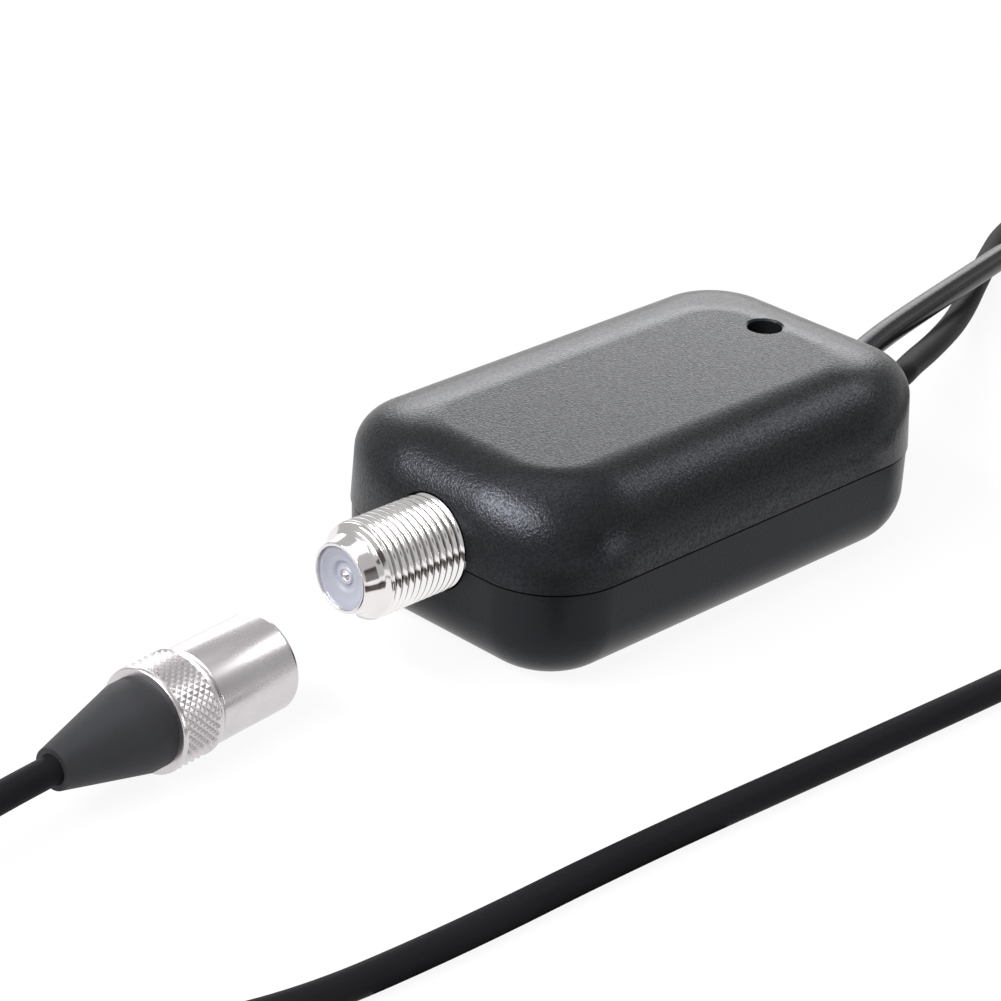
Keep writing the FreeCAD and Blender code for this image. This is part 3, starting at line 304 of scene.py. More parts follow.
coax_plastic = grained_plastic("coax plastic", *LEAD_TONES, roughness=(0.45, 0.55), grain=1200.0,
                               depth=0.000012, speckle=0.15, shine=0.03)
strap_plastic = grained_plastic("strap plastic", (0.01, 0.01, 0.01), (0.018, 0.018, 0.018),
                                roughness=(0.35, 0.5), grain=1800.0, depth=0.00001)
print("plastics made")

# %% Glint of the lid's grain
tree = lid_plastic.node_tree
shader = tree.nodes["Principled BSDF"]
where = tree.nodes["Texture Coordinate"].outputs["Object"]
glint = tree.nodes.new("ShaderNodeMapRange")
glint.inputs["From Min"].default_value = 0.36
glint.inputs["From Max"].default_value = 0.64
glint.inputs["To Min"].default_value = 0.16
glint.inputs["To Max"].default_value = 0.34
link(tree, noise_node(tree, where, 3800.0, 1.0), glint.inputs["Value"])
link(tree, glint.outputs["Result"], shader.inputs["Specular IOR Level"])
print("glint on", lid_plastic.name)


# %% Metals
def plain_metal(name, colour, tint, low, high):
    material, tree, shader, where = new_material(name)
    group = tree.nodes.new("ShaderNodeGroup")
    group.node_tree = smudge_group
    link(tree, where, group.inputs["Vector"])
    group.inputs["Low"].default_value = low
    group.inputs["High"].default_value = high
    shader.inputs["Metallic"].default_value = 1.0
    link(tree, blend_colour(tree, group.outputs["Tint"], colour, tint), shader.inputs["Base Color"])
    link(tree, group.outputs["Roughness"], shader.inputs["Roughness"])
    return material


nickel = plain_metal("nickel plate", (0.88, 0.855, 0.855), (0.78, 0.75, 0.745), low=0.07, high=0.17)
satin_nickel = plain_metal("satin nickel", (0.72, 0.69, 0.695), (0.56, 0.53, 0.54), low=0.2, high=0.36)
gold_contact = plain_metal("plated contact", (0.83, 0.66, 0.32), (0.74, 0.57, 0.26), low=0.15, high=0.3)
tinned = plain_metal("tinned copper", (0.72, 0.72, 0.70), (0.62, 0.61, 0.58), low=0.25, high=0.4)
copper = plain_metal("enamelled copper", (0.72, 0.36, 0.16), (0.58, 0.27, 0.11), low=0.2, high=0.35)
can_metal = plain_metal("capacitor can", (0.75, 0.76, 0.78), (0.66, 0.67, 0.69), low=0.22, high=0.35)
bright_steel = plain_metal("bright steel", (0.72, 0.72, 0.73), (0.62, 0.62, 0.64), low=0.12, high=0.26)
print("metals made")

# %% Thread metal, with painted shade in the valleys
SOCKET_Z = 11.5
FULL_SHADE_RADIUS = 4.26
UNSHADED_RADIUS = 4.42
shaded_thread_nickel, tree, shader, where = new_material("thread nickel")
shader.inputs["Metallic"].default_value = 1.0
shader.inputs["Roughness"].default_value = 0.12
# Painted shade: the nickel's colour darkens towards the valleys of the thread, where shade falls, and is full
# bright on the crests.
from_axis = vector_node(tree, "SUBTRACT", where, (0.0, 0.0, SOCKET_Z * MM))
from_axis = vector_node(tree, "MULTIPLY", from_axis, (0.0, 1.0, 1.0))
from_axis = vector_node(tree, "LENGTH", from_axis)
valley_shade_mask = tree.nodes.new("ShaderNodeMapRange")
valley_shade_mask.inputs["From Min"].default_value = FULL_SHADE_RADIUS * MM
valley_shade_mask.inputs["From Max"].default_value = UNSHADED_RADIUS * MM
link(tree, from_axis, valley_shade_mask.inputs["Value"])
link(tree, blend_colour(tree, valley_shade_mask.outputs["Result"], (0.45, 0.405, 0.395), (0.90, 0.875, 0.87)),
     shader.inputs["Base Color"])
print("thread metal made")


# %% Small finishes inside and on the plugs
def mottled(name, dark, light, roughness, scale, depth=0.00001):
    material, tree, shader, where = new_material(name)
    spots = noise_node(tree, where, scale, 3.0)
    link(tree, blend_colour(tree, spots, dark, light), shader.inputs["Base Color"])
    link(tree, spread(tree, spots, *roughness), shader.inputs["Roughness"])
    add_bump(tree, shader, spots, depth)
    return material, tree, shader


socket_white, tree, shader = mottled("socket insulator", (0.255, 0.26, 0.31), (0.29, 0.295, 0.345),
                                     roughness=(0.28, 0.38), scale=700.0)
shader.inputs["Subsurface Weight"].default_value = 0.25
shader.inputs["Subsurface Radius"].default_value = (0.0008, 0.0008, 0.0011)
shader.inputs["Subsurface Scale"].default_value = 1.0
flat_white, _, _ = mottled("tongue plastic", (0.80, 0.80, 0.79), (0.86, 0.86, 0.85),
                           roughness=(0.4, 0.5), scale=900.0)
foam_white, _, _ = mottled("lead dielectric", (0.80, 0.80, 0.77), (0.87, 0.87, 0.85),
                           roughness=(0.55, 0.7), scale=2500.0, depth=0.00003)
epoxy_black, _, _ = mottled("chip epoxy", (0.03, 0.03, 0.032), (0.055, 0.055, 0.06),
                            roughness=(0.5, 0.65), scale=3000.0)
ferrite, _, _ = mottled("choke ferrite", (0.06, 0.06, 0.065), (0.12, 0.12, 0.13),
                        roughness=(0.55, 0.75), scale=2600.0, depth=0.00003)
ceramic, _, _ = mottled("capacitor ceramic", (0.45, 0.33, 0.20), (0.58, 0.45, 0.30),
                        roughness=(0.35, 0.5), scale=1800.0)
wire_red, _, _ = mottled("red wire", (0.46, 0.03, 0.025), (0.58, 0.05, 0.04),
                         roughness=(0.35, 0.45), scale=900.0)
wire_black, _, _ = mottled("black wire", (0.018, 0.018, 0.018), (0.03, 0.03, 0.03),
                           roughness=(0.35, 0.45), scale=900.0)
lamp_lens, tree, shader = mottled("lamp lens", (0.10, 0.008, 0.006), (0.16, 0.012, 0.01),
                                  roughness=(0.08, 0.14), scale=500.0)
shader.inputs["Coat Weight"].default_value = 0.6
board_green, tree, shader = mottled("board mask", (0.012, 0.11, 0.035), (0.02, 0.15, 0.05),
                                    roughness=(0.25, 0.4), scale=1200.0)
tracks = tree.nodes.new("ShaderNodeTexBrick")
tracks.inputs["Scale"].default_value = 260.0
tracks.inputs["Mortar Size"].default_value = 0.06
tracks.inputs["Color1"].default_value = (0.010, 0.10, 0.03, 1.0)
tracks.inputs["Color2"].default_value = (0.014, 0.12, 0.04, 1.0)
tracks.inputs["Mortar"].default_value = (0.03, 0.22, 0.08, 1.0)
link(tree, tree.nodes["Texture Coordinate"].outputs["Object"], tracks.inputs["Vector"])
link(tree, tracks.outputs["Color"], shader.inputs["Base Color"])
print("small finishes made")

# %% [markdown]
# ## Give every CAD node its finish
# The CAD solids arrive as loose triangles with flat faces. Three modifiers finish
# them without touching the mesh: Weld joins the doubled points, Edge Split keeps only
# real corners sharp, and Weighted Normal lets the large flat faces decide the shading
# where they run into a round.

# %% Smooth but keep corners
def keep_corners(obj, corner=0.6):
    obj.data.shade_smooth()
    weld = obj.modifiers.new("weld", "WELD")
    weld.merge_threshold = 0.002 * MM
    split = obj.modifiers.new("keep corners", "EDGE_SPLIT")
    split.split_angle = corner
    obj.modifiers.new("weigh normals", "WEIGHTED_NORMAL")


# %% Finishes of the nodes
node_finish = {
    "lower_case": case_plastic, "upper_case": lid_plastic, "f_socket_body": nickel,
    "f_socket_insulator": socket_white, "f_socket_contact": gold_contact, "circuit_board": board_green,
    "amplifier_chip": epoxy_black, "choke_cores": ferrite, "choke_windings": copper,
    "electrolytic_capacitor": can_metal, "chip_capacitors": ceramic, "chip_resistors": epoxy_black,
    "power_lamp": lamp_lens, "lamp_legs": tinned, "coax_grommet": bush_rubber, "power_grommet": bush_rubber,
    "coax_inner_end": coax_plastic, "power_inner_end": lead_plastic, "coax_dielectric": foam_white,
    "coax_core": copper, "coax_braid": tinned, "positive_wire": wire_red, "negative_wire": wire_black,
    "plug_shell": nickel, "plug_insulator": socket_white, "plug_pin": nickel, "plug_boot": bush_rubber,
    "coax_plug_end": coax_plastic, "coax_lead": coax_plastic, "power_lead": lead_plastic,
    "power_lead_coil": lead_plastic, "power_lead_tail": lead_plastic, "cable_tie": strap_plastic,
    "flat_grip": grip_plastic, "flat_shell": bright_steel, "flat_tongue": flat_white,
    "flat_contacts": gold_contact,
}
for name, material in node_finish.items():
    piece = nodes[name]
    piece.data.materials.clear()
    piece.data.materials.append(material)
    keep_corners(piece)
print("finished nodes:", len(node_finish), "of", len(nodes))

# %% [markdown]
# ## Turned parts
# The socket and the plug are turned on a lathe, so they are made as the lathe makes
# them: a profile of distances and radii, with small rounds at the corners, is spun
# round an axis. The rounds catch the thin bright lines that real turned edges show.

# %% A profile spun into a closed solid
def rounded(profile, steps=4):
    """Swap each corner that names a round for a short curve."""
    points = []
    count = len(profile)
    for i, corner in enumerate(profile):
        here = Vector(corner[:2])
        size = corner[2] if len(corner) > 2 else 0.0
        if size == 0.0:
            points.append(here)
            continue
        before = (Vector(profile[i - 1][:2]) - here).normalized() * size
        after = (Vector(profile[(i + 1) % count][:2]) - here).normalized() * size
        for j in range(steps + 1):
            t = j / steps
            points.append(here + before * (1 - t) ** 2 + after * t ** 2)
    return points


def finish_piece(obj, material, corner=0.55):
    """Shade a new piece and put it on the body."""
    obj.data.materials.clear()
    obj.data.materials.append(material)
    obj.data.shade_smooth()
    obj.data.set_sharp_from_angle(angle=corner)
    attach(obj, "root")
    print(obj.name, len(obj.data.polygons), "faces")
    return obj


def spin(name, profile, place, steps=96):
    """A closed solid turned round the X axis, then put in place."""
    mesh = bmesh.new()
    rings = []
    for along, radius in rounded(profile):
        ring = []
        for i in range(steps):
            angle = 2 * math.pi * i / steps
            spot = (along * MM, radius * MM * math.cos(angle), radius * MM * math.sin(angle))
            ring.append(mesh.verts.new(spot))
        rings.append(ring)
    for ring, following in zip(rings, rings[1:] + rings[:1]):
        for i in range(steps):
            j = (i + 1) % steps
            mesh.faces.new((ring[i], ring[j], following[j], following[i]))
    bmesh.ops.remove_doubles(mesh, verts=mesh.verts, dist=1e-7)
    bmesh.ops.dissolve_degenerate(mesh, edges=mesh.edges, dist=1e-8)
    bmesh.ops.recalc_face_normals(mesh, faces=mesh.faces)
    mesh.transform(place)
    data = bpy.data.meshes.new(name)
    mesh.to_mesh(data)
    mesh.free()
    obj = bpy.data.objects.new(name, data)
    bpy.context.scene.collection.objects.link(obj)
    return obj


def settle(obj):
    """Make the modifiers' result the object's own mesh."""
    bpy.context.view_layer.update()
    evaluated = obj.evaluated_get(bpy.context.evaluated_depsgraph_get())
    mesh = bpy.data.meshes.new_from_object(evaluated)
    obj.modifiers.clear()
    obj.data = mesh
    return obj


# %% [markdown]
# ## Aerial socket
# The barrel has a narrow nose with a thin rolled rim, a polished conical band, a
# chamfer, and then a 3/8 inch thread of 32 turns to the inch right up to the case.
# Behind the wall sit a flange and a boss, which the case hides.

# %% Barrel
SOCKET_X = -38.95
socket_place = Matrix.Translation((SOCKET_X * MM, 0.0, SOCKET_Z * MM))
barrel = spin("socket_barrel", [
    (0.0, 3.10, 0.06), (0.0, 3.40, 0.14), (0.42, 3.52, 0.1), (1.55, 3.80, 0.12), (1.95, 4.10, 0.08),
    (2.30, 4.62, 0.12), (2.62, 4.62, 0.10), (2.95, 4.24), (13.80, 4.24), (13.80, 4.0), (19.05, 4.0),
    (19.05, 3.1),
], socket_place)
finish_piece(barrel, nickel)

# %% [markdown]
# ## Thread
# A thread is one ridge wound round a core, which a Geometry Nodes tree makes from
# its sizes: a spiral curve, a four-cornered ridge section and Curve to Mesh. The
# curve's normals are turned to Z Up so that the section always points away from
# the axis.

# %% Thread tree
def new_tree(name, inputs):
    """A Geometry Nodes tree with named inputs and one geometry output."""
    tree = bpy.data.node_groups.new(name, "GeometryNodeTree")
    sockets = {}
    for label, kind, default in inputs:
        socket = tree.interface.new_socket(label, in_out="INPUT", socket_type=kind)
        if default is not None:
            socket.default_value = default
        sockets[label] = socket.identifier
    tree.interface.new_socket("Geometry", in_out="OUTPUT", socket_type="NodeSocketGeometry")
    return tree, tree.nodes.new("NodeGroupInput"), tree.nodes.new("NodeGroupOutput"), sockets


def corner_point(tree, x, y):
    node = tree.nodes.new("ShaderNodeCombineXYZ")
    for socket, value in zip(node.inputs, (x, y)):
        if isinstance(value, (int, float)):
            socket.default_value = value
        else:
            link(tree, value, socket)
    return node.outputs[0]


thread_tree, entry, leave, thread_sockets = new_tree(
    "Screw thread",
    [("Crest radius", "NodeSocketFloat", 0.0047), ("Depth", "NodeSocketFloat", 0.0006),
     ("Pitch", "NodeSocketFloat", 0.000794), ("Length", "NodeSocketFloat", 0.0085),
     ("Crest width", "NodeSocketFloat", 0.00016), ("Finish", "NodeSocketMaterial", None)],
)
turns = math_node(thread_tree, "DIVIDE", entry.outputs["Length"], entry.outputs["Pitch"])
helix = thread_tree.nodes.new("GeometryNodeCurveSpiral")
helix.inputs["Resolution"].default_value = 72
link(thread_tree, turns, helix.inputs["Rotations"])
link(thread_tree, entry.outputs["Crest radius"], helix.inputs["Start Radius"])
link(thread_tree, entry.outputs["Crest radius"], helix.inputs["End Radius"])
link(thread_tree, entry.outputs["Length"], helix.inputs["Height"])
upright = thread_tree.nodes.new("GeometryNodeSetCurveNormal")
upright.mode = "Z_UP"
link(thread_tree, helix.outputs["Curve"], upright.inputs["Curve"])
half_pitch = math_node(thread_tree, "MULTIPLY", entry.outputs["Pitch"], 0.47)
half_crest = math_node(thread_tree, "MULTIPLY", entry.outputs["Crest width"], 0.5)
ridge = thread_tree.nodes.new("GeometryNodeCurvePrimitiveQuadrilateral")
ridge.mode = "POINTS"
for label, x, y in (("Point 1", entry.outputs["Depth"], math_node(thread_tree, "MULTIPLY", half_pitch, -1.0)),
                    ("Point 2", 0.0, math_node(thread_tree, "MULTIPLY", half_crest, -1.0)),
                    ("Point 3", 0.0, half_crest),
                    ("Point 4", entry.outputs["Depth"], half_pitch)):
    link(thread_tree, corner_point(thread_tree, x, y), ridge.inputs[label])
sweep = thread_tree.nodes.new("GeometryNodeCurveToMesh")
sweep.inputs["Fill Caps"].default_value = True
link(thread_tree, upright.outputs["Curve"], sweep.inputs["Curve"])
link(thread_tree, ridge.outputs["Curve"], sweep.inputs["Profile Curve"])
real = thread_tree.nodes.new("GeometryNodeRealizeInstances")
link(thread_tree, sweep.outputs["Mesh"], real.inputs["Geometry"])
coat = thread_tree.nodes.new("GeometryNodeSetMaterial")
link(thread_tree, real.outputs["Geometry"], coat.inputs["Geometry"])
link(thread_tree, entry.outputs["Finish"], coat.inputs["Material"])
link(thread_tree, coat.outputs["Geometry"], leave.inputs["Geometry"])


# %% Run a tree and keep its mesh
def from_tree(name, tree, sockets, values, place):
    """A plain mesh from a Geometry Nodes tree, moved to its place."""
    obj = bpy.data.objects.new(name, bpy.data.meshes.new(name))
    bpy.context.scene.collection.objects.link(obj)
    step = obj.modifiers.new(name, "NODES")
    step.node_group = tree
    for label, value in values.items():
        step[sockets[label]] = value
    settle(obj)
    obj.data.transform(place)
    return obj


along_x = Matrix.Rotation(math.pi / 2, 4, "Y")
thread = from_tree("socket_thread", thread_tree, thread_sockets, {
    "Crest radius": 0.0047, "Depth": 0.0006, "Pitch": 0.000794, "Length": 0.0098, "Crest width": 0.00016,
    "Finish": shaded_thread_nickel,
}, Matrix.Translation(((SOCKET_X + 2.35) * MM, 0.0, SOCKET_Z * MM)) @ along_x)
finish_piece(thread, shaded_thread_nickel, 1.2)
low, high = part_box("f_socket_body")
reach = max(math.hypot(v.co.y, v.co.z - SOCKET_Z * MM) for v in thread.data.vertices)
print("thread reaches", round(reach / MM, 3), "mm, barrel node", [round(v / MM, 2) for v in low + high])

# %% Flange and solder legs behind the wall
def box_mesh(mesh, low, high):
    corners = [Vector((x, y, z)) * MM
               for x in (low[0], high[0]) for y in (low[1], high[1]) for z in (low[2], high[2])]
    verts = [mesh.verts.new(corner) for corner in corners]
    for face in ((0, 1, 3, 2), (4, 6, 7, 5), (0, 4, 5, 1), (2, 3, 7, 6), (0, 2, 6, 4), (1, 5, 7, 3)):
        mesh.faces.new([verts[i] for i in face])


def blocks(name, boxes, bevel):
    """Separate blocks with softened edges, as one mesh."""
    mesh = bmesh.new()
    for low, high in boxes:
        box_mesh(mesh, low, high)
    bmesh.ops.bevel(mesh, geom=mesh.edges, offset=bevel * MM, segments=2, affect="EDGES", profile=0.5)
    bmesh.ops.recalc_face_normals(mesh, faces=mesh.faces)
    data = bpy.data.meshes.new(name)
    mesh.to_mesh(data)
    mesh.free()
    obj = bpy.data.objects.new(name, data)
    bpy.context.scene.collection.objects.link(obj)
    return obj


flange = blocks("socket_flange", [
    ((-25.65, -6.2, 6.7), (-23.85, 6.2, 16.3)),
    ((-20.7, -3.8, 4.1), (-19.9, -2.6, 9.5)), ((-20.7, 2.6, 4.1), (-19.9, 3.8, 9.5)),
], 0.12)
finish_piece(flange, nickel)
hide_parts("f_socket_body")

# %% [markdown]
# ## White disc of the socket
# The plastic disc is dished in shallow steps towards the hole for the aerial's wire.
# A small lip stands round the hole, and a thin metal eyelet lines it.

# %% Disc
disc = spin("socket_disc", [
    (0.28, 3.09), (19.05, 3.09), (19.05, 0.46), (10.95, 0.46), (10.95, 1.16), (2.8, 1.16), (2.8, 0.6),
    (0.72, 0.6, 0.06), (0.72, 0.82, 0.05), (0.86, 0.92, 0.04), (0.86, 1.25, 0.05), (0.62, 1.55, 0.1),
    (0.52, 2.1, 0.15), (0.36, 2.55, 0.12), (0.28, 2.75, 0.1),
], socket_place, 80)
finish_piece(disc, socket_white, 0.8)
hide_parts("f_socket_insulator")
eyelet = spin("socket_eyelet", [
    (0.80, 0.44, 0.05), (0.80, 0.59, 0.05), (2.78, 0.59), (2.78, 0.12), (1.70, 0.12, 0.06),
], socket_place, 40)
finish_piece(eyelet, nickel)

# %% [markdown]
# ## Aerial plug
# The plug lies in front of the socket with its open end towards the case. Its shell
# is smooth and has a slightly rounded mouth, and the band behind it is knurled so
# that fingers can grip it.

# %% Plug shell
PLUG_TURN = math.radians(6.2)
plug_place = Matrix.Translation((-46.8 * MM, 1.7 * MM, 5.1 * MM)) @ Matrix.Rotation(PLUG_TURN, 4, "Z")
shell = spin("plug_tube", [
    (-8.6, 4.3), (-0.12, 4.3, 0.1), (0.0, 4.45, 0.08), (0.0, 4.62, 0.1), (-0.28, 4.75, 0.14),
    (-9.6, 4.75, 0.1), (-9.62, 4.62, 0.04), (-9.9, 4.62, 0.04), (-9.92, 4.98, 0.12), (-10.35, 5.08, 0.1),
    (-10.5, 4.86, 0.08), (-14.4, 4.86, 0.08), (-14.55, 5.08, 0.1), (-15.0, 5.0, 0.15), (-15.0, 3.9),
    (-16.5, 3.9), (-16.5, 3.2), (-8.6, 3.2),
], plug_place)
finish_piece(shell, satin_nickel)
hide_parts("plug_shell")

# %% [markdown]
# ## Knurl
# A diamond knurl is a field of small four-sided pyramids. The tree counts them off
# in rows round the band, every other row shifted by half a step, and turns each
# pyramid to point away from the axis.

# %% Knurl tree
knurl_tree, entry, leave, knurl_sockets = new_tree(
    "Diamond knurl",
    [("Radius", "NodeSocketFloat", 0.00486), ("Width", "NodeSocketFloat", 0.0039),
     ("Around", "NodeSocketInt", 40), ("Rows", "NodeSocketInt", 10), ("Height", "NodeSocketFloat", 0.00024),
     ("Finish", "NodeSocketMaterial", None)],
)
around = entry.outputs["Around"]
radius = entry.outputs["Radius"]
count = math_node(knurl_tree, "MULTIPLY", around, entry.outputs["Rows"])
points = knurl_tree.nodes.new("GeometryNodePoints")
link(knurl_tree, count, points.inputs["Count"])
index = knurl_tree.nodes.new("GeometryNodeInputIndex").outputs["Index"]
row = math_node(knurl_tree, "ADD", index, 0.01)
row = math_node(knurl_tree, "FLOOR", math_node(knurl_tree, "DIVIDE", row, around))
column = math_node(knurl_tree, "SUBTRACT", index, math_node(knurl_tree, "MULTIPLY", row, around))
shift = math_node(knurl_tree, "MULTIPLY", math_node(knurl_tree, "MODULO", row, 2.0), 0.5)
turn = math_node(knurl_tree, "MULTIPLY", math_node(knurl_tree, "ADD", column, shift), 2 * math.pi)
turn = math_node(knurl_tree, "DIVIDE", turn, around)
across = math_node(knurl_tree, "COSINE", turn)
up = math_node(knurl_tree, "SINE", turn)
step_along = math_node(knurl_tree, "DIVIDE", entry.outputs["Width"], entry.outputs["Rows"])
along = math_node(knurl_tree, "MULTIPLY", math_node(knurl_tree, "ADD", row, 0.5), step_along)
outward = knurl_tree.nodes.new("ShaderNodeCombineXYZ")
link(knurl_tree, across, outward.inputs[1])
link(knurl_tree, up, outward.inputs[2])
spot = knurl_tree.nodes.new("ShaderNodeCombineXYZ")
link(knurl_tree, along, spot.inputs[0])
link(knurl_tree, math_node(knurl_tree, "MULTIPLY", across, radius), spot.inputs[1])
link(knurl_tree, math_node(knurl_tree, "MULTIPLY", up, radius), spot.inputs[2])
link(knurl_tree, spot.outputs[0], points.inputs["Position"])
face_out = knurl_tree.nodes.new("FunctionNodeAlignRotationToVector")
face_out.axis = "Z"
link(knurl_tree, outward.outputs[0], face_out.inputs["Vector"])
face_along = knurl_tree.nodes.new("FunctionNodeAlignRotationToVector")
face_along.axis = "X"
face_along.pivot_axis = "Z"
face_along.inputs["Vector"].default_value = (1.0, 0.0, 0.0)
link(knurl_tree, face_out.outputs["Rotation"], face_along.inputs["Rotation"])
pyramid = knurl_tree.nodes.new("GeometryNodeMeshCone")
pyramid.inputs["Vertices"].default_value = 4
pyramid.inputs["Radius Top"].default_value = 0.0
half_around = math_node(knurl_tree, "MULTIPLY", radius, math.pi)
link(knurl_tree, math_node(knurl_tree, "DIVIDE", half_around, around), pyramid.inputs["Radius Bottom"])
link(knurl_tree, entry.outputs["Height"], pyramid.inputs["Depth"])
scatter = knurl_tree.nodes.new("GeometryNodeInstanceOnPoints")
link(knurl_tree, points.outputs[0], scatter.inputs["Points"])
link(knurl_tree, pyramid.outputs["Mesh"], scatter.inputs["Instance"])
link(knurl_tree, face_along.outputs["Rotation"], scatter.inputs["Rotation"])
real = knurl_tree.nodes.new("GeometryNodeRealizeInstances")
link(knurl_tree, scatter.outputs["Instances"], real.inputs["Geometry"])
coat = knurl_tree.nodes.new("GeometryNodeSetMaterial")
link(knurl_tree, real.outputs["Geometry"], coat.inputs["Geometry"])
link(knurl_tree, entry.outputs["Finish"], coat.inputs["Material"])
link(knurl_tree, coat.outputs["Geometry"], leave.inputs["Geometry"])

knurl = from_tree("plug_knurl", knurl_tree, knurl_sockets, {
    "Radius": 0.00483, "Width": 0.0039, "Around": 40, "Rows": 10, "Height": 0.00026, "Finish": satin_nickel,
}, plug_place @ Matrix.Translation((-14.4 * MM, 0.0, 0.0)))
finish_piece(knurl, satin_nickel, 0.3)

# %% [markdown]
# ## Leads
# Both leads are flexible, so each is one smooth NURBS line through listed points,
# level out of its bush, down to the surface and along it. The coaxial lead is round.
# The power lead is a twin with a shallow groove, so a section with two grooves is
# swept along the same kind of line. Its spare length is a flat coil of two layers.

# %% Lead routes
LEAD_RADIUS = 1.4
COAX_ROUTE = [
    (31.95, -2.75, 10.3), (37.0, -2.75, 10.3), (42.8, 0.35, 9.0), (53.5, 5.6, 6.4), (68.5, 13.6, 3.0),
    (84.5, 23.0, 1.45), (98.5, 30.0, 1.45), (112.5, 30.5, 1.45), (121.0, 20.5, 1.45), (122.8, 5.0, 1.45),
    (122.6, -12.0, 1.45), (119.5, -28.5, 1.45), (108.5, -39.0, 1.45), (92.0, -41.7, 1.45),
    (70.0, -42.0, 1.45), (42.0, -42.2, 1.45), (14.0, -41.9, 1.45), (-14.0, -40.4, 1.45),
    (-40.0, -38.8, 1.45), (-61.0, -38.6, 1.45), (-78.0, -37.2, 1.45), (-91.0, -31.5, 1.45),
    (-98.0, -21.0, 1.45), (-97.0, -9.5, 1.75), (-90.5, -3.4, 4.2), (-81.49, -2.07, 5.1), (-72.65, -1.11, 5.1),
]
POWER_ROUTE = [
    (31.95, 2.75, 10.3), (35.8, 2.75, 10.3), (43.0, 5.6, 9.9), (55.5, 9.8, 8.5), (71.5, 14.9, 6.7),
    (86.5, 19.8, 4.9), (100.5, 21.5, 2.6), (112.0, 15.5, 2.2), (118.2, 2.8, 2.2), (118.2, -8.2, 2.2),
]
TAIL_ROUTE = [(92.4, -32.4, 5.55), (86.9, -32.4, 5.55), (78.5, -27.0, 4.0), (73.0, -27.0, 4.0)]


def nurbs_line(name, route):
    """One open NURBS spline whose control points are the route."""
    curve = bpy.data.curves.new(name, "CURVE")
    curve.dimensions = "3D"
    curve.resolution_u = 12
    spline = curve.splines.new("NURBS")
    spline.points.add(len(route) - 1)
    for point, spot in zip(spline.points, route):
        point.co = (spot[0] * MM, spot[1] * MM, spot[2] * MM, 1.0)
    spline.order_u = 3
    spline.use_endpoint_u = True
    obj = bpy.data.objects.new(name, curve)
    bpy.context.scene.collection.objects.link(obj)
    return obj


# %% Coaxial lead
coax = nurbs_line("coax_cord", COAX_ROUTE)
coax.data.bevel_depth = LEAD_RADIUS * MM
coax.data.bevel_resolution = 6
coax.data.use_fill_caps = True
coax.data.materials.append(coax_plastic)
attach(coax, "root")
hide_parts("coax_lead")
print(coax.name, len(COAX_ROUTE), "points")

# %% [markdown]
# ## Coil of the power lead
# The coil starts at the outside, winds inwards on the lower layer, climbs in its
# tightest half turn and winds outwards on the upper layer. Each radius follows from
# the number of half turns wound so far, sixteen points to the turn.

# %% Coil
COIL_CENTRE = (96.0, -11.0)
COIL_RADIUS = 22.2
COIL_PITCH = 3.35
COIL_REVERSAL = 1.7
COIL_INWARD = 7
COIL_STEPS = 8
COIL_POINTS = 100
LAYER_LOW = 2.2


def coil_spot(half_turns):
    """Where the coil is after a number of half turns, clockwise from above."""
    inner = COIL_RADIUS - COIL_PITCH / 2 * COIL_INWARD
    outward = half_turns - COIL_INWARD
    if outward <= 0:
        radius = COIL_RADIUS - COIL_PITCH / 2 * half_turns
    elif outward <= 1:
        radius = inner + (COIL_PITCH / 2 + COIL_REVERSAL) * outward
    else:
        radius = inner + COIL_REVERSAL + COIL_PITCH / 2 * outward
    climb = min(max(outward + 1, 0.0), 1.0)
    height = LAYER_LOW + COIL_PITCH * (1 - math.cos(math.pi * climb)) / 2
    angle = -math.pi * half_turns
    stretch = 1 / math.cos(math.pi / (2 * COIL_STEPS))
    return (COIL_CENTRE[0] + radius * stretch * math.cos(angle),
            COIL_CENTRE[1] + radius * stretch * math.sin(angle), height)


coil_route = [coil_spot((step + 0.5) / COIL_STEPS) for step in range(COIL_POINTS)]
power_route = POWER_ROUTE + coil_route + TAIL_ROUTE
print("power lead:", len(power_route), "points,", len(coil_route), "of them in the coil")


# %% Twin lead swept along its line
GROOVE_WIDTH = 0.22
GROOVE_DEPTH = 0.16
GROOVE_TILT = math.radians(127)


def groove(angle, centre, width):
    away = (angle - centre + math.pi) % (2 * math.pi) - math.pi
    return math.exp(-(away / width) ** 2)


def twin_section(radius, depth, tilt, steps=28):
    """Points of a round section with a groove on two opposite sides."""
    section = []
    for i in range(steps):
        angle = 2 * math.pi * i / steps
        cut = groove(angle, tilt, GROOVE_WIDTH) + groove(angle, tilt + math.pi, GROOVE_WIDTH)
        size = radius * (1 - depth * cut)
        section.append((size * math.cos(angle), size * math.sin(angle)))
    return section


def sweep_along(name, line, section):
    """A closed tube of one section along a line of points, kept upright."""
    mesh = bmesh.new()
    rings = []
    count = len(line)
    for i, spot in enumerate(line):
        ahead = (line[min(i + 1, count - 1)] - line[max(i - 1, 0)]).normalized()
        side = Vector((0.0, 0.0, 1.0)).cross(ahead).normalized()
        upward = ahead.cross(side)
        rings.append([mesh.verts.new(spot + side * a + upward * b) for a, b in section])
    around = len(section)
    for ring, following in zip(rings, rings[1:]):
        for i in range(around):
            j = (i + 1) % around
            mesh.faces.new((ring[i], ring[j], following[j], following[i]))
    mesh.faces.new(list(reversed(rings[0])))
    mesh.faces.new(rings[-1])
    bmesh.ops.recalc_face_normals(mesh, faces=mesh.faces)
    data = bpy.data.meshes.new(name)
    mesh.to_mesh(data)
    mesh.free()
    obj = bpy.data.objects.new(name, data)
    bpy.context.scene.collection.objects.link(obj)
    return obj


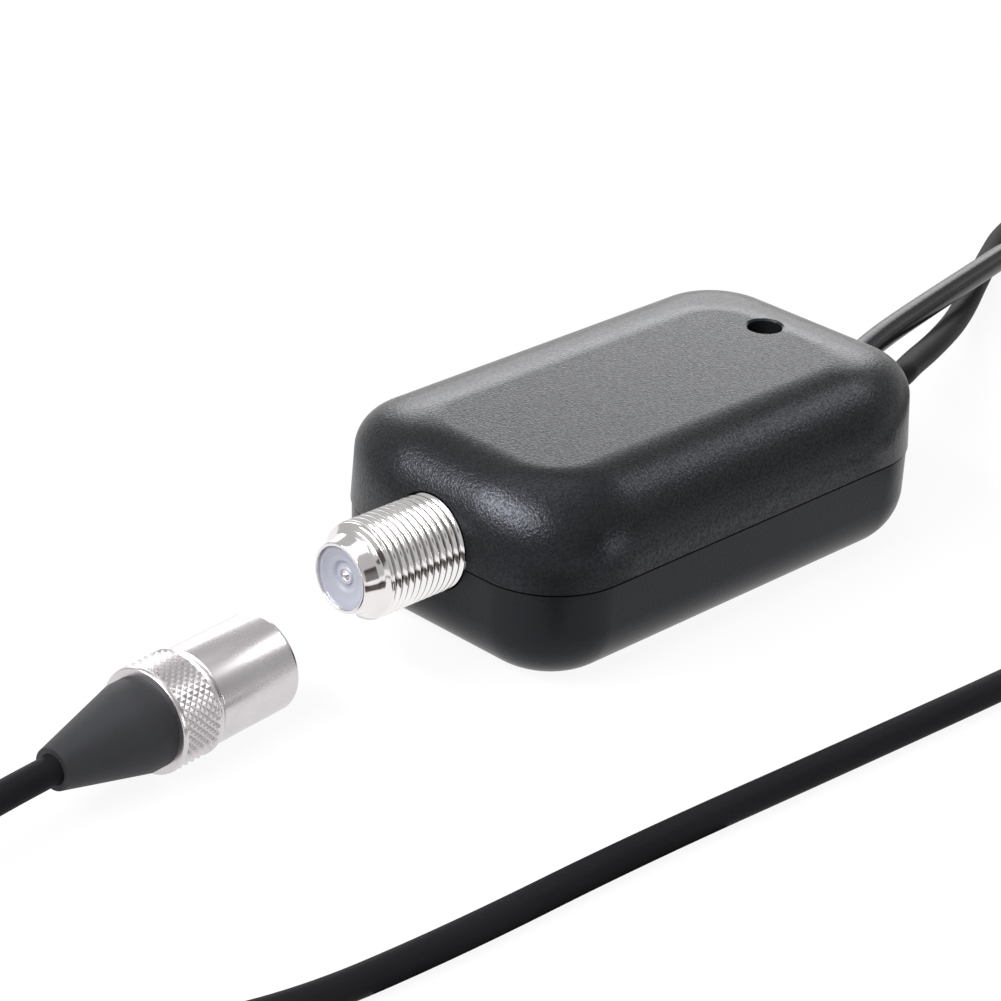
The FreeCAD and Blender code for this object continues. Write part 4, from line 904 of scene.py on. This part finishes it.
guide = nurbs_line("power_guide", power_route)
bpy.context.view_layer.update()
guide_mesh = bpy.data.meshes.new_from_object(guide)
line = [vertex.co.copy() for vertex in guide_mesh.vertices]
bpy.data.objects.remove(guide)
power = sweep_along("power_cord", line, twin_section(LEAD_RADIUS * MM, GROOVE_DEPTH, GROOVE_TILT))
finish_piece(power, lead_plastic, 1.2)
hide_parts("power_lead", "power_lead_coil", "power_lead_tail")

# %% [markdown]
# ## Ribs of the power plug's grip
# Five raised ribs across each broad side give fingers a hold on the moulded grip.
# They are one short rounded bar, repeated by a Geometry Nodes tree.

# %% Rib tree
rib_tree, entry, leave, rib_sockets = new_tree(
    "Grip ribs",
    [("Ribs", "NodeSocketInt", 5), ("Spacing", "NodeSocketFloat", 0.0018),
     ("Length", "NodeSocketFloat", 0.009), ("Radius", "NodeSocketFloat", 0.0004),
     ("Finish", "NodeSocketMaterial", None)],
)
row_line = rib_tree.nodes.new("GeometryNodeMeshLine")
row_line.mode = "OFFSET"
link(rib_tree, entry.outputs["Ribs"], row_line.inputs["Count"])
row_step = rib_tree.nodes.new("ShaderNodeCombineXYZ")
link(rib_tree, entry.outputs["Spacing"], row_step.inputs[0])
link(rib_tree, row_step.outputs[0], row_line.inputs["Offset"])
bar = rib_tree.nodes.new("GeometryNodeMeshUVSphere")
bar.inputs["Segments"].default_value = 16
bar.inputs["Rings"].default_value = 10
link(rib_tree, entry.outputs["Radius"], bar.inputs["Radius"])
bar_place = rib_tree.nodes.new("ShaderNodeCombineXYZ")
bar_place.inputs[0].default_value = 1.0
half_length = math_node(rib_tree, "MULTIPLY", entry.outputs["Length"], 0.5)
link(rib_tree, math_node(rib_tree, "DIVIDE", half_length, entry.outputs["Radius"]), bar_place.inputs[1])
bar_place.inputs[2].default_value = 1.0
scatter = rib_tree.nodes.new("GeometryNodeInstanceOnPoints")
link(rib_tree, row_line.outputs["Mesh"], scatter.inputs["Points"])
link(rib_tree, bar.outputs["Mesh"], scatter.inputs["Instance"])
link(rib_tree, bar_place.outputs[0], scatter.inputs["Scale"])
real = rib_tree.nodes.new("GeometryNodeRealizeInstances")
link(rib_tree, scatter.outputs["Instances"], real.inputs["Geometry"])
coat = rib_tree.nodes.new("GeometryNodeSetMaterial")
link(rib_tree, real.outputs["Geometry"], coat.inputs["Geometry"])
link(rib_tree, entry.outputs["Finish"], coat.inputs["Material"])
link(rib_tree, coat.outputs["Geometry"], leave.inputs["Geometry"])

low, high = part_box("flat_grip")
for name, level in (("grip_ribs_top", high[2] - 0.0001), ("grip_ribs_bottom", low[2] + 0.0003)):
    rib = from_tree(name, rib_tree, rib_sockets, {
        "Ribs": 5, "Spacing": 0.0018, "Length": 0.009, "Radius": 0.0003, "Finish": grip_plastic,
    }, Matrix.Translation((low[0] + 0.0062, (low[1] + high[1]) / 2, level)))
    finish_piece(rib, grip_plastic)

# %% [markdown]
# ## Floor, light and camera
# The photo is a studio picture on white. The floor is pale, and to the camera it adds
# its own white so that the page is bright and the shadow stays faint. A broad lamp low
# behind the case gives the top its grey sheen, and softer ones fill from the left and
# above. Dark cards near the camera and beside the nose give the nickel the dark
# stripes that make it look like metal.

# %% Floor
PAGE_WHITE = 0.92
floor_mesh = bmesh.new()
bmesh.ops.create_grid(floor_mesh, x_segments=1, y_segments=1, size=3.0)
floor_data = bpy.data.meshes.new("floor")
floor_mesh.to_mesh(floor_data)
floor_mesh.free()
floor = bpy.data.objects.new("floor", floor_data)
bpy.context.scene.collection.objects.link(floor)
floor_paint, tree, shader, where = new_material("floor paint")
link(tree, blend_colour(tree, noise_node(tree, where, 3.0), (0.80, 0.80, 0.80), (0.82, 0.82, 0.82)),
     shader.inputs["Base Color"])
shader.inputs["Roughness"].default_value = 0.9
shader.inputs["Specular IOR Level"].default_value = 0.1
glow = tree.nodes.new("ShaderNodeEmission")
glow.inputs["Color"].default_value = (1.0, 1.0, 1.0, 1.0)
rays = tree.nodes.new("ShaderNodeLightPath")
seen = math_node(tree, "MAXIMUM", rays.outputs["Is Camera Ray"], rays.outputs["Is Glossy Ray"])
seen = math_node(tree, "MAXIMUM", seen, rays.outputs["Is Transmission Ray"])
share = math_node(tree, "MULTIPLY", seen, PAGE_WHITE)
mix = tree.nodes.new("ShaderNodeMixShader")
link(tree, share, mix.inputs[0])
link(tree, shader.outputs[0], mix.inputs[1])
link(tree, glow.outputs[0], mix.inputs[2])
link(tree, mix.outputs[0], tree.nodes["Material Output"].inputs["Surface"])
floor.data.materials.append(floor_paint)

# %% World
SKY_LIGHT = 0.16
SKY_IN_METAL = 0.45
world = bpy.data.worlds.new("studio")
world.use_nodes = True
bpy.context.scene.world = world
tree = world.node_tree
background = tree.nodes["Background"]
background.inputs["Color"].default_value = (1.0, 1.0, 1.0, 1.0)
rays = tree.nodes.new("ShaderNodeLightPath")
mirrored = math_node(tree, "MAXIMUM", rays.outputs["Is Glossy Ray"], rays.outputs["Is Transmission Ray"])
mirrored = math_node(tree, "MULTIPLY", mirrored, SKY_IN_METAL)
shown = math_node(tree, "MAXIMUM", rays.outputs["Is Camera Ray"], mirrored)
link(tree, spread(tree, shown, SKY_LIGHT, 1.0), background.inputs["Strength"])


# %% Lamps and cards
def area_lamp(name, spot, aim, width, height, watts):
    lamp = bpy.data.lights.new(name, "AREA")
    lamp.shape = "RECTANGLE"
    lamp.size = width
    lamp.size_y = height
    lamp.energy = watts
    obj = bpy.data.objects.new(name, lamp)
    obj.location = spot
    obj.rotation_euler = (Vector(aim) - Vector(spot)).to_track_quat("-Z", "Y").to_euler()
    bpy.context.scene.collection.objects.link(obj)


centre = (0.0, 0.0, 0.01)
area_lamp("back softbox", (0.62, 0.60, 0.235), centre, width=0.9, height=0.36, watts=3.55)
area_lamp("top softbox", (-0.05, 0.05, 0.75), centre, width=0.6, height=0.6, watts=1.6)
area_lamp("left softbox", (-0.49, 0.09, 0.52), centre, width=0.74, height=0.16, watts=10.2)
area_lamp("front softbox", (0.12, -0.66, 0.10), centre, width=0.16, height=0.16, watts=0.6)
area_lamp("right softbox", (0.50, -0.17, 0.47), centre, width=0.25, height=0.15, watts=0.65)


def dark_card(name, spot, aim, width, height):
    """A card that only shows in reflections and keeps light off nothing else."""
    mesh = bmesh.new()
    bmesh.ops.create_grid(mesh, x_segments=1, y_segments=1, size=0.5)
    mesh.transform(Matrix.Diagonal((width, height, 1.0, 1.0)))
    turn = (Vector(aim) - Vector(spot)).to_track_quat("-Z", "Y").to_matrix().to_4x4()
    mesh.transform(Matrix.Translation(spot) @ turn)
    data = bpy.data.meshes.new(name)
    mesh.to_mesh(data)
    mesh.free()
    obj = bpy.data.objects.new(name, data)
    bpy.context.scene.collection.objects.link(obj)
    obj.data.materials.append(card_black)
    obj.visible_camera = False
    obj.visible_shadow = False
    obj.visible_diffuse = False


card_black, _, _ = mottled("card black", (0.012, 0.009, 0.007), (0.035, 0.022, 0.016),
                           roughness=(0.8, 0.9), scale=5.0)
above_corner = (-0.05, -0.042, 1.0)
nose_side = (-0.0385, -0.0031, 0.0131)
dark_card("card beside camera", (-0.62, -0.12, 0.08), centre, width=0.16, height=0.4)
dark_card("card behind camera", (-0.46, -0.42, 0.34), centre, width=0.12, height=0.12)
dark_card("card at the corner", (-0.05, -0.042, 0.0004), above_corner, width=0.04, height=0.04)
dark_card("card beside the nose", (-0.0265, -0.0598, 0.0275), nose_side, width=0.02, height=0.036)

# %% Camera fitted to the photo
camera_data = bpy.data.cameras.new("camera")
camera_data.lens = 125.02
camera_data.sensor_width = 36.0
camera_data.clip_start = 0.01
camera = bpy.data.objects.new("camera", camera_data)
camera.location = (-0.2272887, -0.2058353, 0.1588853)
camera.rotation_euler = (1.1082521, -0.0366435, -0.7740613)
bpy.context.scene.collection.objects.link(camera)
bpy.context.scene.camera = camera
bpy.context.scene.view_settings.view_transform = "Standard"
print("camera", tuple(round(v, 4) for v in camera.location))
